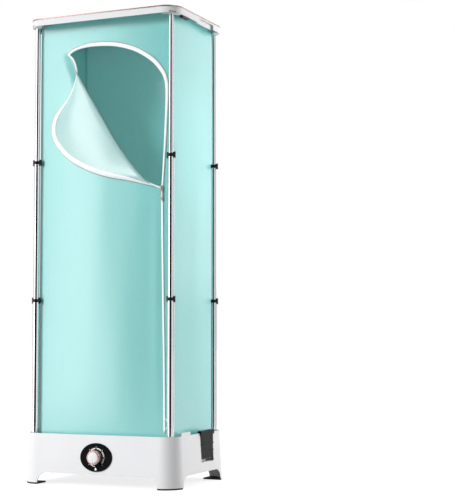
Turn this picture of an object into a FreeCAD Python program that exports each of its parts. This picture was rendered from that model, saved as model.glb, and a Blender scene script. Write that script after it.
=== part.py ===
import FreeCAD, Part
import Sketcher
import math
import os
import re

from FreeCAD import Placement, Rotation, Vector

# Folding clothes dryer: heater base, four telescopic poles, lid and zipped fabric cover.
# Millimetres. Origin on the floor under the middle of the base, front to -Y, +Z up.

SIZES = {
    # Base housing
    "base_width": 530,
    "base_depth": 370,
    "base_height": 158,
    "base_flare": 8,
    "base_corner": 50,
    "shell_wall": 2.5,
    "foot_height": 5,
    "foot_inset": 1.5,
    "arch_height": 37.5,
    "arch_radius": 32,
    "front_leg": 64,
    "side_leg": 56,
    "tray_depth": 43,
    "deck_thick": 3,
    "ledge_width": 6,
    "ledge_thick": 4,
    "bottom_thick": 2.5,
    "bottom_clear": 1,
    "fit_gap": 0.3,
    "shaft_gap": 0.1,
    # Locating tongues on the rim
    "tongue_middle": -102,
    "tongue_length": 64,
    "tongue_rise": 10,
    "tongue_root": 6,
    "tongue_thick": 4,
    "tongue_bite": 1,
    # Side latches
    "latch_middle": 43,
    "latch_width": 90,
    "latch_foot": 78,
    "latch_recess": 11,
    "latch_thick": 8,
    "latch_proud": 3,
    "latch_rise": 7,
    "latch_flange": 100,
    "latch_flange_tall": 13,
    "latch_hook": 4,
    "latch_rib_tall": 4,
    "latch_rib_proud": 2,
    "latch_rib_step": 22,
    "latch_gap": 1,
    "pivot_rise": 5,
    "pin_diameter": 4,
    "housing_depth": 16,
    "housing_wall": 2,
    # Control dial on the front
    "dial_height": 90,
    "dial_width": 110,
    "dial_tall": 87,
    "dial_thick": 3,
    "bush_diameter": 12,
    "timer_width": 48,
    "timer_tall": 34,
    "timer_depth": 28,
    "timer_shaft_diameter": 6,
    "knob_diameter": 44,
    "knob_height": 16,
    "knob_lift": 1,
    "knob_ring_wall": 2.5,
    "knob_cap_rise": 2,
    "knob_round": 1.5,
    "lens_diameter": 7,
    "lens_drop": 36,
    # Hot-air unit under the deck
    "duct_diameter": 196,
    "duct_wall": 3,
    "motor_diameter": 62,
    "fan_tip_gap": 6,
    "fan_hub_diameter": 52,
    "fan_hub_height": 18,
    "fan_shaft_diameter": 6,
    "fan_shaft_reach": 14,
    "fan_clear": 4,
    "blade_thick": 2,
    "blade_root_run": 18,
    "blade_root_rise": 12,
    "blade_tip_run": 34,
    "blade_tip_rise": 8,
    "blade_count": 7,
    "heater_length": 112,
    "heater_depth": 90,
    "heater_height": 11,
    "heater_plate_thick": 2,
    "heater_rail": 6,
    "fin_thick": 1,
    "fin_count": 17,
    "fin_gap": 2,
    "cutout_diameter": 16,
    "cutout_height": 7,
    "cutout_inset": 4,
    "grille_diameter": 206,
    "grille_thick": 2.5,
    "grille_opening": 186,
    "grille_slot": 6,
    "grille_slot_length": 120,
    "grille_slot_count": 11,
    "intake_inner": 42,
    "intake_outer": 86,
    "intake_slot": 6,
    "intake_count": 20,
    # Mains gland in the back wall
    "gland_inset": 45,
    "gland_height": 70,
    "gland_diameter": 14,
    "gland_flange": 20,
    "gland_flange_thick": 6,
    "gland_bore": 7,
    # Telescopic poles
    "pole_inset_x": 26,
    "pole_inset_y": 27,
    "lower_diameter": 22,
    "middle_diameter": 19,
    "upper_diameter": 16,
    "tube_wall": 1.2,
    "pole_overlap": 70,
    "socket_diameter": 28,
    "socket_flange": 31,
    "socket_flange_thick": 3,
    "socket_rise": 18,
    "socket_drop": 32,
    "socket_floor": 4,
    # Twist-lock collars
    "lower_collar_height": 574,
    "upper_collar_height": 1015,
    "collar_diameter": 25.4,
    "collar_ring": 10,
    "collar_seat": 2,
    "wing_reach": 14.5,
    "wing_tip": 20,
    "wing_waist": 8,
    "wing_thick": 8,
    "wing_round": 2,
    # Lid
    "lid_height": 1453,
    "lid_band": 20,
    "liner_thick": 2.5,
    "trim_height": 3,
    "trim_proud": 1,
    "trim_width": 7,
    "dome_height": 24,
    "crown_width": 240,
    "crown_depth": 80,
    "crown_corner": 30,
    "dome_wall": 2.5,
    "notch_diameter": 22,
    "notch_height": 6,
    "gusset_inner": 30,
    "gusset_drop": 1,
    "gusset_thick": 6,
    "lid_socket_diameter": 22,
    "lid_socket_cap": 5,
    "catch_notch_height": 15,
    "catch_margin": 3,
    "catch_depth": 5,
    "catch_wall": 2,
    "receiver_length": 46,
    "receiver_drop": 6,
    "receiver_thick": 3,
    "receiver_slot": 5,
    "rail_diameter": 12,
    "rail_drop": 20,
    "rail_length": 270,
    "bracket_thick": 5,
    "bracket_width": 26,
    "bracket_inset": 8,
    "bracket_rim": 6,
    # Fabric cover and its zip door
    "cover_tuck": 3,
    "cover_corner": 15,
    "cloth_thick": 1,
    "cover_clear": 0.5,
    "zip_inset": 24,
    "door_drop": 73,
    "door_side_drop": 143,
    "door_shoulder": 110,
    "door_crown_inset": 232,
    "door_end_inset": 104,
    "slider_drop": 465,
    "fold_top_inset": 134,
    "fold_top_drop": 90,
    "fold_low_inset": 84,
    "fold_low_drop": 431,
    "fold_radius": 7,
    "flap_thick": 1.2,
    "flap_lift": 3,
    "zip_width": 10,
    "zip_thick": 1.4,
    "zip_foot": 50,
    "slider_width": 11,
    "slider_tall": 16,
    "slider_thick": 5,
    "pull_width": 6,
    "pull_length": 34,
    "pull_thick": 1.5,
}

# Sizes that follow from the ones above.
DERIVED = {
    "foot_width": "base_width + 2 * base_flare",
    "foot_depth": "base_depth + 2 * base_flare",
    "foot_corner": "base_corner + base_flare",
    "skirt_height": "base_height - foot_height",
    "front_arch_half": "foot_width / 2 - front_leg",
    "side_arch_half": "foot_depth / 2 - side_leg",
    "deck_top": "base_height - tray_depth",
    "deck_bottom": "deck_top - deck_thick",
    "deck_spread": "base_flare * tray_depth / skirt_height",
    "deck_width": "base_width + 2 * deck_spread - 2 * shell_wall - 2 * fit_gap",
    "deck_depth": "base_depth + 2 * deck_spread - 2 * shell_wall - 2 * fit_gap",
    "deck_corner": "base_corner + deck_spread - shell_wall - fit_gap",
    "ledge_outer_width": "base_width + 2 * deck_spread - shell_wall",
    "ledge_outer_depth": "base_depth + 2 * deck_spread - shell_wall",
    "ledge_corner": "base_corner + deck_spread - shell_wall / 2",
    "bottom_low": "arch_height + bottom_clear",
    "bottom_top": "bottom_low + bottom_thick",
    "bottom_spread": "base_flare * (base_height - bottom_top) / skirt_height",
    "bottom_width": "base_width + 2 * bottom_spread - 2 * shell_wall - 2 * fit_gap",
    "bottom_depth": "base_depth + 2 * bottom_spread - 2 * shell_wall - 2 * fit_gap",
    "bottom_corner": "base_corner + bottom_spread - shell_wall - fit_gap",
    "latch_back": "base_width / 2 + latch_proud - latch_thick",
    "latch_front": "base_width / 2 + latch_proud",
    "window_low": "latch_foot - latch_recess",
    "window_half": "latch_width / 2 + latch_gap",
    "pivot_height": "latch_foot + pivot_rise",
    "pivot_x": "housing_front - pin_diameter",
    "housing_front": "base_width / 2 - shell_wall - fit_gap",
    "housing_back": "housing_front - housing_depth",
    "housing_half": "window_half + housing_wall",
    "housing_top": "base_height - 2 * latch_gap",
    "heater_top": "deck_bottom - fin_gap",
    "heater_low": "heater_top - heater_height",
    "plate_low": "heater_low - heater_plate_thick",
    "fan_diameter": "duct_diameter - 2 * duct_wall - 2 * fan_tip_gap",
    "cutout_y": "(heater_depth / 2 + duct_diameter / 2 - duct_wall) / 2 - cutout_inset",
    "hub_low": "plate_low - fan_clear - fan_hub_height",
    "motor_top": "hub_low - fan_clear",
    "pole_x": "base_width / 2 - pole_inset_x",
    "pole_y": "base_depth / 2 - pole_inset_y",
    "socket_low": "deck_top - socket_drop - socket_floor",
    "lower_foot": "deck_top - socket_drop",
    "lower_top": "lower_collar_height + collar_seat",
    "middle_foot": "lower_top - pole_overlap",
    "middle_top": "upper_collar_height + collar_seat",
    "upper_foot": "middle_top - pole_overlap",
    "liner_low": "lid_height + lid_band - liner_thick",
    "lid_bore_top": "liner_low - lid_socket_cap",
    "upper_top": "lid_bore_top - fit_gap",
    "trim_low": "lid_height + lid_band",
    "dome_low": "trim_low + trim_height",
    "corner_x": "base_width / 2 - base_corner",
    "corner_y": "base_depth / 2 - base_corner",
    "gland_x": "corner_x - gland_inset",
    "gusset_outer": "base_corner - shell_wall - fit_gap",
    "lid_wall_x": "base_width / 2 - shell_wall",
    "rail_height": "lid_height - rail_drop",
    "bracket_y": "rail_length / 2 - bracket_inset",
    "cover_width": "2 * (pole_x - cover_tuck)",
    "cover_depth": "2 * pole_y - lower_diameter",
    "cover_low": "deck_top + cover_clear",
    "cover_top": "liner_low - cover_clear",
    "cover_front_y": "cover_depth / 2",
    "cover_split": "cover_depth / 2 - cover_corner",
    "door_top": "lid_height - door_drop",
    "door_side_height": "door_top - door_side_drop",
    "zip_x": "cover_width / 2 - zip_inset",
    "door_crown_x": "zip_x - door_crown_inset",
    "door_end_x": "door_end_inset - cover_width / 2",
    "fold_top_x": "fold_top_inset - cover_width / 2",
    "fold_low_x": "zip_x - fold_low_inset",
    "door_shoulder_x": "zip_x - door_shoulder",
    "door_crown_run": "door_shoulder_x - door_crown_x",
    "door_crown_rise": "door_side_drop - door_shoulder",
    "door_crown_reach": "(door_crown_run * door_crown_run / door_crown_rise - door_crown_rise) / 2",
    "door_crown_height": "door_side_height - door_crown_reach",
    "door_crown": "door_top - door_crown_height",
    "slider_height": "door_top - slider_drop",
    "fold_top_z": "door_top - fold_top_drop",
    "fold_low_z": "door_top - fold_low_drop",
    "zip_back": "cover_front_y + fit_gap",
    "zip_front": "zip_back + zip_thick",
}

# How far across the lid's crown its outlines lie, from the rim to the flat middle.
CROWN_STEPS = (0, 0.15, 0.35, 0.65, 1)

# The flap's free edge, from the top of its fold round to the bottom: shares of the fold's run and drop.
FLAP_EDGE = [(-0.16, 0.29), (-0.36, 0.49), (-0.13, 0.73), (0.32, 0.9), (0.81, 0.99)]

CORNERS = {
    "front_left": (-1, -1),
    "front_right": (1, -1),
    "back_left": (-1, 1),
    "back_right": (1, 1),
}

doc = FreeCAD.newDocument("folding_clothes_dryer")
sheet = doc.addObject("Spreadsheet::Sheet", "Sizes")
for row, (alias, number) in enumerate(SIZES.items(), start=1):
    sheet.set(f"A{row}", alias)
    sheet.set(f"B{row}", str(number))
    sheet.setAlias(f"B{row}", alias)
doc.recompute()

parts = []


# Expressions

def formula(text):
    """Write a formula of size names as a spreadsheet expression."""
    def reference(match):
        word = match.group(0)
        if word in DERIVED:
            return "(" + formula(DERIVED[word]) + ")"
        return "Sizes." + word if word in SIZES else word
    return re.sub(r"[a-z_]+", reference, str(text))


def value(text):
    return float(sheet.evalExpression(formula(text)))


def bind(item, path, text):
    item.setExpression(path, formula(text))


# Bodies and sketches

def keep(item):
    """Mark an object as a sub-part of the dryer."""
    parts.append(item)
    return item


def new_body(label):
    return doc.addObject("PartDesign::Body", label)


def origin_item(host, role):
    return [item for item in host.Origin.OriginFeatures if item.Role == role][0]


def new_sketch(host, plane, offset="0"):
    drawing = host.newObject("Sketcher::SketchObject", host.Label + "_sketch")
    drawing.AttachmentSupport = [(origin_item(host, plane), "")]
    drawing.MapMode = "FlatFace"
    bind(drawing, "AttachmentOffset.Base.z", offset)
    return drawing


def size(drawing, kind, references, text):
    """Add a dimension to a sketch and bind it to the sheet."""
    index = drawing.addConstraint(Sketcher.Constraint(kind, *references, value(text)))
    name = f"size_{index}"
    drawing.renameConstraint(index, name)
    bind(drawing, "Constraints." + name, text)


def locate(drawing, geometry, point, x, y):
    """Hold a sketch point at x, y from the sketch's origin."""
    if x == "0":
        drawing.addConstraint(Sketcher.Constraint("PointOnObject", geometry, point, -2))
    else:
        size(drawing, "DistanceX", (-1, 1, geometry, point), x)
    if y == "0":
        drawing.addConstraint(Sketcher.Constraint("PointOnObject", geometry, point, -1))
    else:
        size(drawing, "DistanceY", (-1, 1, geometry, point), y)


def circle(drawing, diameter, x="0", y="0"):
    middle = Vector(value(x), value(y), 0)
    ring = drawing.addGeometry(Part.Circle(middle, Vector(0, 0, 1), value(diameter) / 2))
    locate(drawing, ring, 3, x, y)
    size(drawing, "Diameter", (ring,), diameter)


def polygon(drawing, corners):
    points = [Vector(value(x), value(y), 0) for x, y in corners]
    lines = [
        drawing.addGeometry(Part.LineSegment(points[i], points[(i + 1) % len(points)]))
        for i in range(len(points))
    ]
    for i, line in enumerate(lines):
        following = lines[(i + 1) % len(lines)]
        drawing.addConstraint(Sketcher.Constraint("Coincident", line, 2, following, 1))
    for line, (x, y) in zip(lines, corners):
        locate(drawing, line, 1, x, y)


def rectangle(drawing, left, right, low, high):
    polygon(drawing, [(left, low), (right, low), (right, high), (left, high)])


def rounded_rectangle(drawing, width, depth, radius):
    """Draw a rectangle with round corners about the sketch's origin."""
    w, d, r = value(width) / 2, value(depth) / 2, value(radius)
    up = Vector(0, 0, 1)
    centres = [(w - r, -d + r), (w - r, d - r), (-w + r, d - r), (-w + r, -d + r)]
    ends = [
        (Vector(-w + r, -d, 0), Vector(w - r, -d, 0)),
        (Vector(w, -d + r, 0), Vector(w, d - r, 0)),
        (Vector(w - r, d, 0), Vector(-w + r, d, 0)),
        (Vector(-w, d - r, 0), Vector(-w, -d + r, 0)),
    ]
    lines = [drawing.addGeometry(Part.LineSegment(a, b)) for a, b in ends]
    arcs = []
    for quarter, (x, y) in enumerate(centres):
        start = math.radians(90 * quarter - 90)
        bend = Part.Circle(Vector(x, y, 0), up, r)
        arcs.append(drawing.addGeometry(Part.ArcOfCircle(bend, start, start + math.pi / 2)))
    for quarter in range(4):
        following = lines[(quarter + 1) % 4]
        drawing.addConstraint(Sketcher.Constraint("Tangent", lines[quarter], 2, arcs[quarter], 1))
        drawing.addConstraint(Sketcher.Constraint("Tangent", arcs[quarter], 2, following, 1))
        side = "Horizontal" if quarter % 2 == 0 else "Vertical"
        drawing.addConstraint(Sketcher.Constraint(side, lines[quarter]))
    for arc in arcs[1:]:
        drawing.addConstraint(Sketcher.Constraint("Equal", arcs[0], arc))
    size(drawing, "Radius", (arcs[0],), radius)
    size(drawing, "DistanceY", (-1, 1, lines[0], 1), f"-({depth}) / 2")
    size(drawing, "DistanceX", (-1, 1, lines[1], 1), f"({width}) / 2")
    size(drawing, "DistanceY", (-1, 1, lines[2], 1), f"({depth}) / 2")
    size(drawing, "DistanceX", (-1, 1, lines[3], 1), f"-({width}) / 2")


# Features

def pad(host, drawing, length, side="One side", reverse=False):
    feature = host.newObject("PartDesign::Pad", host.Label + "_pad")
    feature.Profile = drawing
    feature.SideType = side
    feature.Reversed = reverse
    bind(feature, "Length", length)
    return feature


def pocket(host, drawing, length=None, side="One side", reverse=False):
    """Cut a sketch from the body, right through where no length is given."""
    before = tip_volume(host)
    feature = host.newObject("PartDesign::Pocket", host.Label + "_pocket")
    feature.Profile = drawing
    feature.SideType = side
    feature.Reversed = reverse
    if length is None:
        feature.Type = "ThroughAll"
    else:
        bind(feature, "Length", length)
    if tip_volume(host) >= before:
        raise RuntimeError(f"a pocket of {host.Label} cuts nothing")
    return feature


def tip_volume(host):
    doc.recompute()
    return host.Shape.Volume


def loft(host, kind, sections, ruled=True):
    """Loft between round-cornered outlines given as (height, width, depth, radius)."""
    drawings = []
    for height, width, depth, radius in sections:
        drawing = new_sketch(host, "XY_Plane", height)
        rounded_rectangle(drawing, width, depth, radius)
        drawings.append(drawing)
    feature = host.newObject("PartDesign::" + kind, host.Label + "_loft")
    feature.Profile = drawings[0]
    feature.Sections = drawings[1:]
    feature.Ruled = ruled
    return feature


def polar(host, feature, count):
    pattern = host.newObject("PartDesign::PolarPattern", host.Label + "_polar")
    pattern.Originals = [feature]
    pattern.Axis = (origin_item(host, "Z_Axis"), [""])
    pattern.Angle = 360
    bind(pattern, "Occurrences", count)
    host.Tip = pattern


def linear(host, feature, role, length, count):
    pattern = host.newObject("PartDesign::LinearPattern", host.Label + "_row")
    pattern.Originals = [feature]
    pattern.Direction = (origin_item(host, role), [""])
    bind(pattern, "Length", length)
    bind(pattern, "Occurrences", count)
    host.Tip = pattern


def fillet(host, base, chosen, radius):
    """Round the edges of a feature that the test picks."""
    doc.recompute()
    names = [f"Edge{i}" for i, edge in enumerate(base.Shape.Edges, start=1) if chosen(edge)]
    feature = host.newObject("PartDesign::Fillet", host.Label + "_round")
    feature.Base = (base, names)
    bind(feature, "Radius", radius)
    return feature


def disc(host, diameter, low, length, bore=None, x="0", y="0"):
    """Pad a round slice, hollow where a bore is given."""
    drawing = new_sketch(host, "XY_Plane", low)
    circle(drawing, diameter, x, y)
    if bore:
        circle(drawing, bore, x, y)
    return pad(host, drawing, length)


def bore_from_top(host, diameter, top, length=None, x="0", y="0"):
    drawing = new_sketch(host, "XY_Plane", top)
    circle(drawing, diameter, x, y)
    return pocket(host, drawing, length)


def bore_from_below(host, diameter, low, length, x="0", y="0"):
    drawing = new_sketch(host, "XY_Plane", low)
    circle(drawing, diameter, x, y)
    return pocket(host, drawing, length, reverse=True)


def move(item, x="0", y="0", z="0"):
    bind(item, "Placement.Base.x", x)
    bind(item, "Placement.Base.y", y)
    bind(item, "Placement.Base.z", z)
    return item


def box(label, left, right, front, back, low, high):
    item = doc.addObject("Part::Box", label)
    bind(item, "Length", f"({right}) - ({left})")
    bind(item, "Width", f"({back}) - ({front})")
    bind(item, "Height", f"({high}) - ({low})")
    return move(item, left, front, low)


def cut(label, base, tools):
    """Take tools out of a base, one after another."""
    for tool in tools:
        last = tool is tools[-1]
        item = doc.addObject("Part::Cut", label if last else label + "_cut")
        item.Base = base
        item.Tool = tool
        base = item
    return base


def mirror(item, label, normal):
    copy = doc.addObject("Part::Mirroring", label)
    copy.Source = item
    copy.Normal = normal
    return copy


def group(label, items):
    compound = doc.addObject("Part::Compound", label)
    compound.Links = items
    return keep(compound)


def left_and_right(label, item):
    return group(label, [item, mirror(item, label + "_mirrored", Vector(1, 0, 0))])


def four_corners(label, item):
    """Repeat the back right piece in every corner."""
    left = mirror(item, label + "_back_left", Vector(1, 0, 0))
    front = mirror(item, label + "_front_right", Vector(0, 1, 0))
    opposite = mirror(left, label + "_front_left", Vector(0, 1, 0))
    return group(label, [item, left, front, opposite])


# Base housing

def skirt(inset):
    """Outlines of the flared skirt, a wall's inset in from its outside."""
    outlines = []
    for end in ("foot", "base"):
        width = f"{end}_width - 2 * ({inset})"
        depth = f"{end}_depth - 2 * ({inset})"
        outlines.append((f"{end}_height", width, depth, f"{end}_corner - ({inset})"))
    return outlines


def draw_housing_gap(drawing, sign, outer):
    """Room for a latch housing at one side, out to a given distance."""
    inner, outer = f"{sign} * (housing_back - fit_gap)", f"{sign} * ({outer})"
    front, back = "latch_middle - housing_half - fit_gap", "latch_middle + housing_half + fit_gap"
    polygon(drawing, [(inner, front), (outer, front), (outer, back), (inner, back)])


def make_base_shell():
    host = new_body("base_shell")
    loft(host, "AdditiveLoft", skirt("0"))
    loft(host, "SubtractiveLoft", skirt("shell_wall"))
    ledge = new_sketch(host, "XY_Plane", "deck_bottom - ledge_thick")
    rounded_rectangle(ledge, "ledge_outer_width", "ledge_outer_depth", "ledge_corner")
    rounded_rectangle(
        ledge,
        "ledge_outer_width - 2 * ledge_width",
        "ledge_outer_depth - 2 * ledge_width",
        "ledge_corner - ledge_width",
    )
    pad(host, ledge, "ledge_thick")
    for plane, half in (("XZ_Plane", "front_arch_half"), ("YZ_Plane", "side_arch_half")):
        arch = new_sketch(host, plane)
        rounded_rectangle(arch, f"2 * {half}", "2 * arch_height", "arch_radius")
        pocket(host, arch, side="Symmetric")
    window = new_sketch(host, "YZ_Plane")
    rectangle(
        window,
        "latch_middle - window_half",
        "latch_middle + window_half",
        "window_low",
        "base_height + latch_rise",
    )
    pocket(host, window, side="Symmetric")
    ledge_gaps = new_sketch(host, "XY_Plane", "deck_bottom")
    for x_sign, y_sign in CORNERS.values():
        circle(ledge_gaps, "socket_diameter + 2 * fit_gap", f"{x_sign} * pole_x", f"{y_sign} * pole_y")
    for sign in (-1, 1):
        draw_housing_gap(ledge_gaps, sign, "base_width / 2 - shell_wall + deck_spread")
    pocket(host, ledge_gaps, "ledge_thick")
    timer_hole = new_sketch(host, "XZ_Plane")
    circle(timer_hole, "bush_diameter + 2 * fit_gap", "0", "dial_height")
    pocket(host, timer_hole, reverse=True)
    gland_hole = new_sketch(host, "XZ_Plane")
    circle(gland_hole, "gland_diameter + 2 * shaft_gap", "-gland_x", "gland_height")
    pocket(host, gland_hole)
    tongue = new_sketch(host, "YZ_Plane", "base_width / 2 - shell_wall - tongue_thick + tongue_bite")
    rectangle(
        tongue,
        "tongue_middle - tongue_length / 2",
        "tongue_middle + tongue_length / 2",
        "base_height - tongue_root",
        "base_height + tongue_rise",
    )
    right_tongue = pad(host, tongue, "tongue_thick")
    both = host.newObject("PartDesign::Mirrored", "base_shell_tongues")
    both.Originals = [right_tongue]
    both.MirrorPlane = (origin_item(host, "YZ_Plane"), [""])
    host.Tip = both
    keep(host)


def make_base_deck():
    host = new_body("base_deck")
    plate = new_sketch(host, "XY_Plane", "deck_bottom")
    rounded_rectangle(plate, "deck_width", "deck_depth", "deck_corner")
    circle(plate, "grille_opening")
    pad(host, plate, "deck_thick")
    holes = new_sketch(host, "XY_Plane", "deck_top")
    for x_sign, y_sign in CORNERS.values():
        circle(holes, "socket_diameter + 2 * shaft_gap", f"{x_sign} * pole_x", f"{y_sign} * pole_y")
    pocket(host, holes)
    notches = new_sketch(host, "XY_Plane", "deck_top")
    for sign in (-1, 1):
        draw_housing_gap(notches, sign, "foot_width / 2")
    pocket(host, notches)
    keep(host)


def make_bottom_cover():
    host = new_body("bottom_cover")
    plate = new_sketch(host, "XY_Plane", "bottom_low")
    rounded_rectangle(plate, "bottom_width", "bottom_depth", "bottom_corner")
    pad(host, plate, "bottom_thick")
    slot = new_sketch(host, "XY_Plane", "bottom_top")
    rectangle(slot, "intake_inner", "intake_outer", "-intake_slot / 2", "intake_slot / 2")
    polar(host, pocket(host, slot), "intake_count")
    keep(host)


def make_rubber_feet():
    host = new_body("rubber_foot")
    pad_outline = new_sketch(host, "XY_Plane")
    rounded_rectangle(
        pad_outline,
        "foot_width - 2 * foot_inset",
        "foot_depth - 2 * foot_inset",
        "foot_corner - foot_inset",
    )
    pad(host, pad_outline, "foot_height")
    clear = new_sketch(host, "XY_Plane", "foot_height")
    inner_x, inner_y = "front_arch_half + foot_inset", "side_arch_half + foot_inset"
    polygon(
        clear,
        [
            (inner_x, inner_y),
            (inner_x, "foot_depth"),
            ("-foot_width", "foot_depth"),
            ("-foot_width", "-foot_depth"),
            ("foot_width", "-foot_depth"),
            ("foot_width", inner_y),
        ],
    )
    pocket(host, clear)
    four_corners("rubber_feet", host)


def make_pole_sockets():
    host = new_body("pole_socket")
    disc(host, "socket_diameter", "socket_low", "socket_drop + socket_floor + socket_rise")
    disc(host, "socket_flange", "deck_top", "socket_flange_thick")
    bore_from_top(
        host,
        "lower_diameter + 2 * shaft_gap",
        "deck_top + socket_rise",
        "socket_drop + socket_rise",
    )
    move(host, "pole_x", "pole_y")
    four_corners("pole_sockets", host)


def make_latches():
    lever = new_body("latch_right")
    blade = new_sketch(lever, "YZ_Plane", "latch_back")
    rectangle(
        blade,
        "latch_middle - latch_width / 2",
        "latch_middle + latch_width / 2",
        "latch_foot",
        "base_height + latch_rise",
    )
    pad(lever, blade, "latch_thick")
    flange = new_sketch(lever, "YZ_Plane", "latch_front - latch_rib_proud")
    rectangle(
        flange,
        "latch_middle - latch_flange / 2",
        "latch_middle + latch_flange / 2",
        "base_height + latch_rise - latch_flange_tall",
        "base_height + latch_rise",
    )
    pad(lever, flange, "2 * latch_rib_proud")
    hook = new_sketch(lever, "YZ_Plane", "latch_back - latch_hook")
    rectangle(
        hook,
        "latch_middle - latch_width / 2",
        "latch_middle + latch_width / 2",
        "base_height + latch_gap",
        "base_height + latch_rise",
    )
    pad(lever, hook, "latch_hook")
    rib = new_sketch(lever, "YZ_Plane", "latch_front")
    for step in (1, 2):
        low = f"latch_foot + {step} * latch_rib_step"
        rectangle(
            rib,
            "latch_middle - latch_width / 2",
            "latch_middle + latch_width / 2",
            low,
            f"{low} + latch_rib_tall",
        )
    pad(lever, rib, "latch_rib_proud")
    knuckle = new_sketch(lever, "YZ_Plane", "pivot_x - pin_diameter")
    rectangle(
        knuckle,
        "latch_middle - latch_width / 2",
        "latch_middle + latch_width / 2",
        "latch_foot",
        "pivot_height + pin_diameter",
    )
    pad(lever, knuckle, "latch_back - pivot_x + pin_diameter")
    pin_hole = new_sketch(lever, "XZ_Plane")
    circle(pin_hole, "pin_diameter + 2 * shaft_gap", "pivot_x", "pivot_height")
    pocket(lever, pin_hole, side="Symmetric")
    keep(lever)

    pin = new_body("latch_pin_right")
    pin_end = new_sketch(pin, "XZ_Plane", "-latch_middle")
    circle(pin_end, "pin_diameter", "pivot_x", "pivot_height")
    pad(pin, pin_end, "2 * housing_half", side="Symmetric")
    keep(pin)

    tub = new_body("latch_housing_right")
    outside = new_sketch(tub, "YZ_Plane", "housing_back")
    rectangle(
        outside,
        "latch_middle - housing_half",
        "latch_middle + housing_half",
        "window_low - housing_wall",
        "housing_top",
    )
    pad(tub, outside, "housing_depth")
    inside = new_sketch(tub, "YZ_Plane", "housing_back + housing_wall")
    rectangle(
        inside,
        "latch_middle - window_half",
        "latch_middle + window_half",
        "window_low",
        "base_height",
    )
    pocket(tub, inside, reverse=True)
    pin_seat = new_sketch(tub, "XZ_Plane")
    circle(pin_seat, "pin_diameter + 2 * shaft_gap", "pivot_x", "pivot_height")
    pocket(tub, pin_seat, side="Symmetric")
    keep(tub)

    for item, label in ((lever, "latch_left"), (pin, "latch_pin_left"), (tub, "latch_housing_left")):
        keep(mirror(item, label, Vector(1, 0, 0)))


# Control dial, built flat and then leaned back with the front wall

def control_place(item):
    lean = math.atan2(value("base_flare"), value("skirt_height"))
    reach = value("base_depth / 2 + base_flare * (base_height - dial_height) / skirt_height")
    turn = Rotation(Vector(1, 0, 0), 90 - math.degrees(lean))
    item.Placement = Placement(Vector(0, -reach, value("dial_height")), turn)
    return keep(item)


def make_control_dial():
    oval = doc.addObject("Part::Ellipse", "dial_outline")
    bind(oval, "MajorRadius", "dial_width / 2")
    bind(oval, "MinorRadius", "dial_tall / 2")
    plate = doc.addObject("Part::Extrusion", "dial_plate")
    plate.Base = oval
    plate.DirMode = "Custom"
    plate.Dir = Vector(0, 0, 1)
    plate.Solid = True
    bind(plate, "LengthFwd", "dial_thick")
    bush_hole = doc.addObject("Part::Cylinder", "dial_bush_hole")
    bind(bush_hole, "Radius", "bush_diameter / 2 + shaft_gap")
    bind(bush_hole, "Height", "dial_thick")
    lens_hole = doc.addObject("Part::Cylinder", "dial_lens_hole")
    bind(lens_hole, "Radius", "lens_diameter / 2 + shaft_gap")
    bind(lens_hole, "Height", "dial_thick")
    move(lens_hole, "0", "-lens_drop", "0")
    control_place(cut("dial_panel", plate, [bush_hole, lens_hole]))

    lens = new_body("indicator_lens")
    disc(lens, "lens_diameter", "0", "dial_thick + shaft_gap", None, "0", "-lens_drop")
    control_place(lens)

    timer = new_body("timer_unit")
    case = new_sketch(timer, "XY_Plane", "-shell_wall - timer_depth")
    rectangle(case, "-timer_width / 2", "timer_width / 2", "-timer_tall / 2", "timer_tall / 2")
    pad(timer, case, "timer_depth")
    disc(timer, "bush_diameter", "-shell_wall", "shell_wall + dial_thick")
    bore_from_top(timer, "timer_shaft_diameter + 2 * shaft_gap", "dial_thick", "dial_thick + timer_depth / 2")
    control_place(timer)

    shaft = new_body("timer_shaft")
    disc(
        shaft,
        "timer_shaft_diameter",
        "fit_gap - timer_depth / 2",
        "timer_depth / 2 - fit_gap + dial_thick + knob_lift + knob_height - knob_ring_wall",
    )
    control_place(shaft)

    knob = new_body("timer_knob")
    cap = disc(
        knob,
        "knob_diameter - 2 * knob_ring_wall",
        "dial_thick + knob_lift",
        "knob_height + knob_cap_rise",
    )
    rim = value("dial_thick + knob_lift + knob_height + knob_cap_rise")
    fillet(knob, cap, lambda edge: abs(edge.BoundBox.ZMin - rim) < 1e-6, "knob_round")
    bore_from_below(
        knob,
        "timer_shaft_diameter",
        "dial_thick + knob_lift",
        "knob_height - knob_ring_wall",
    )
    control_place(knob)

    ring = new_body("knob_ring")
    disc(
        ring,
        "knob_diameter",
        "dial_thick + knob_lift",
        "knob_height",
        "knob_diameter - 2 * knob_ring_wall",
    )
    control_place(ring)


# Hot-air unit

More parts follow.
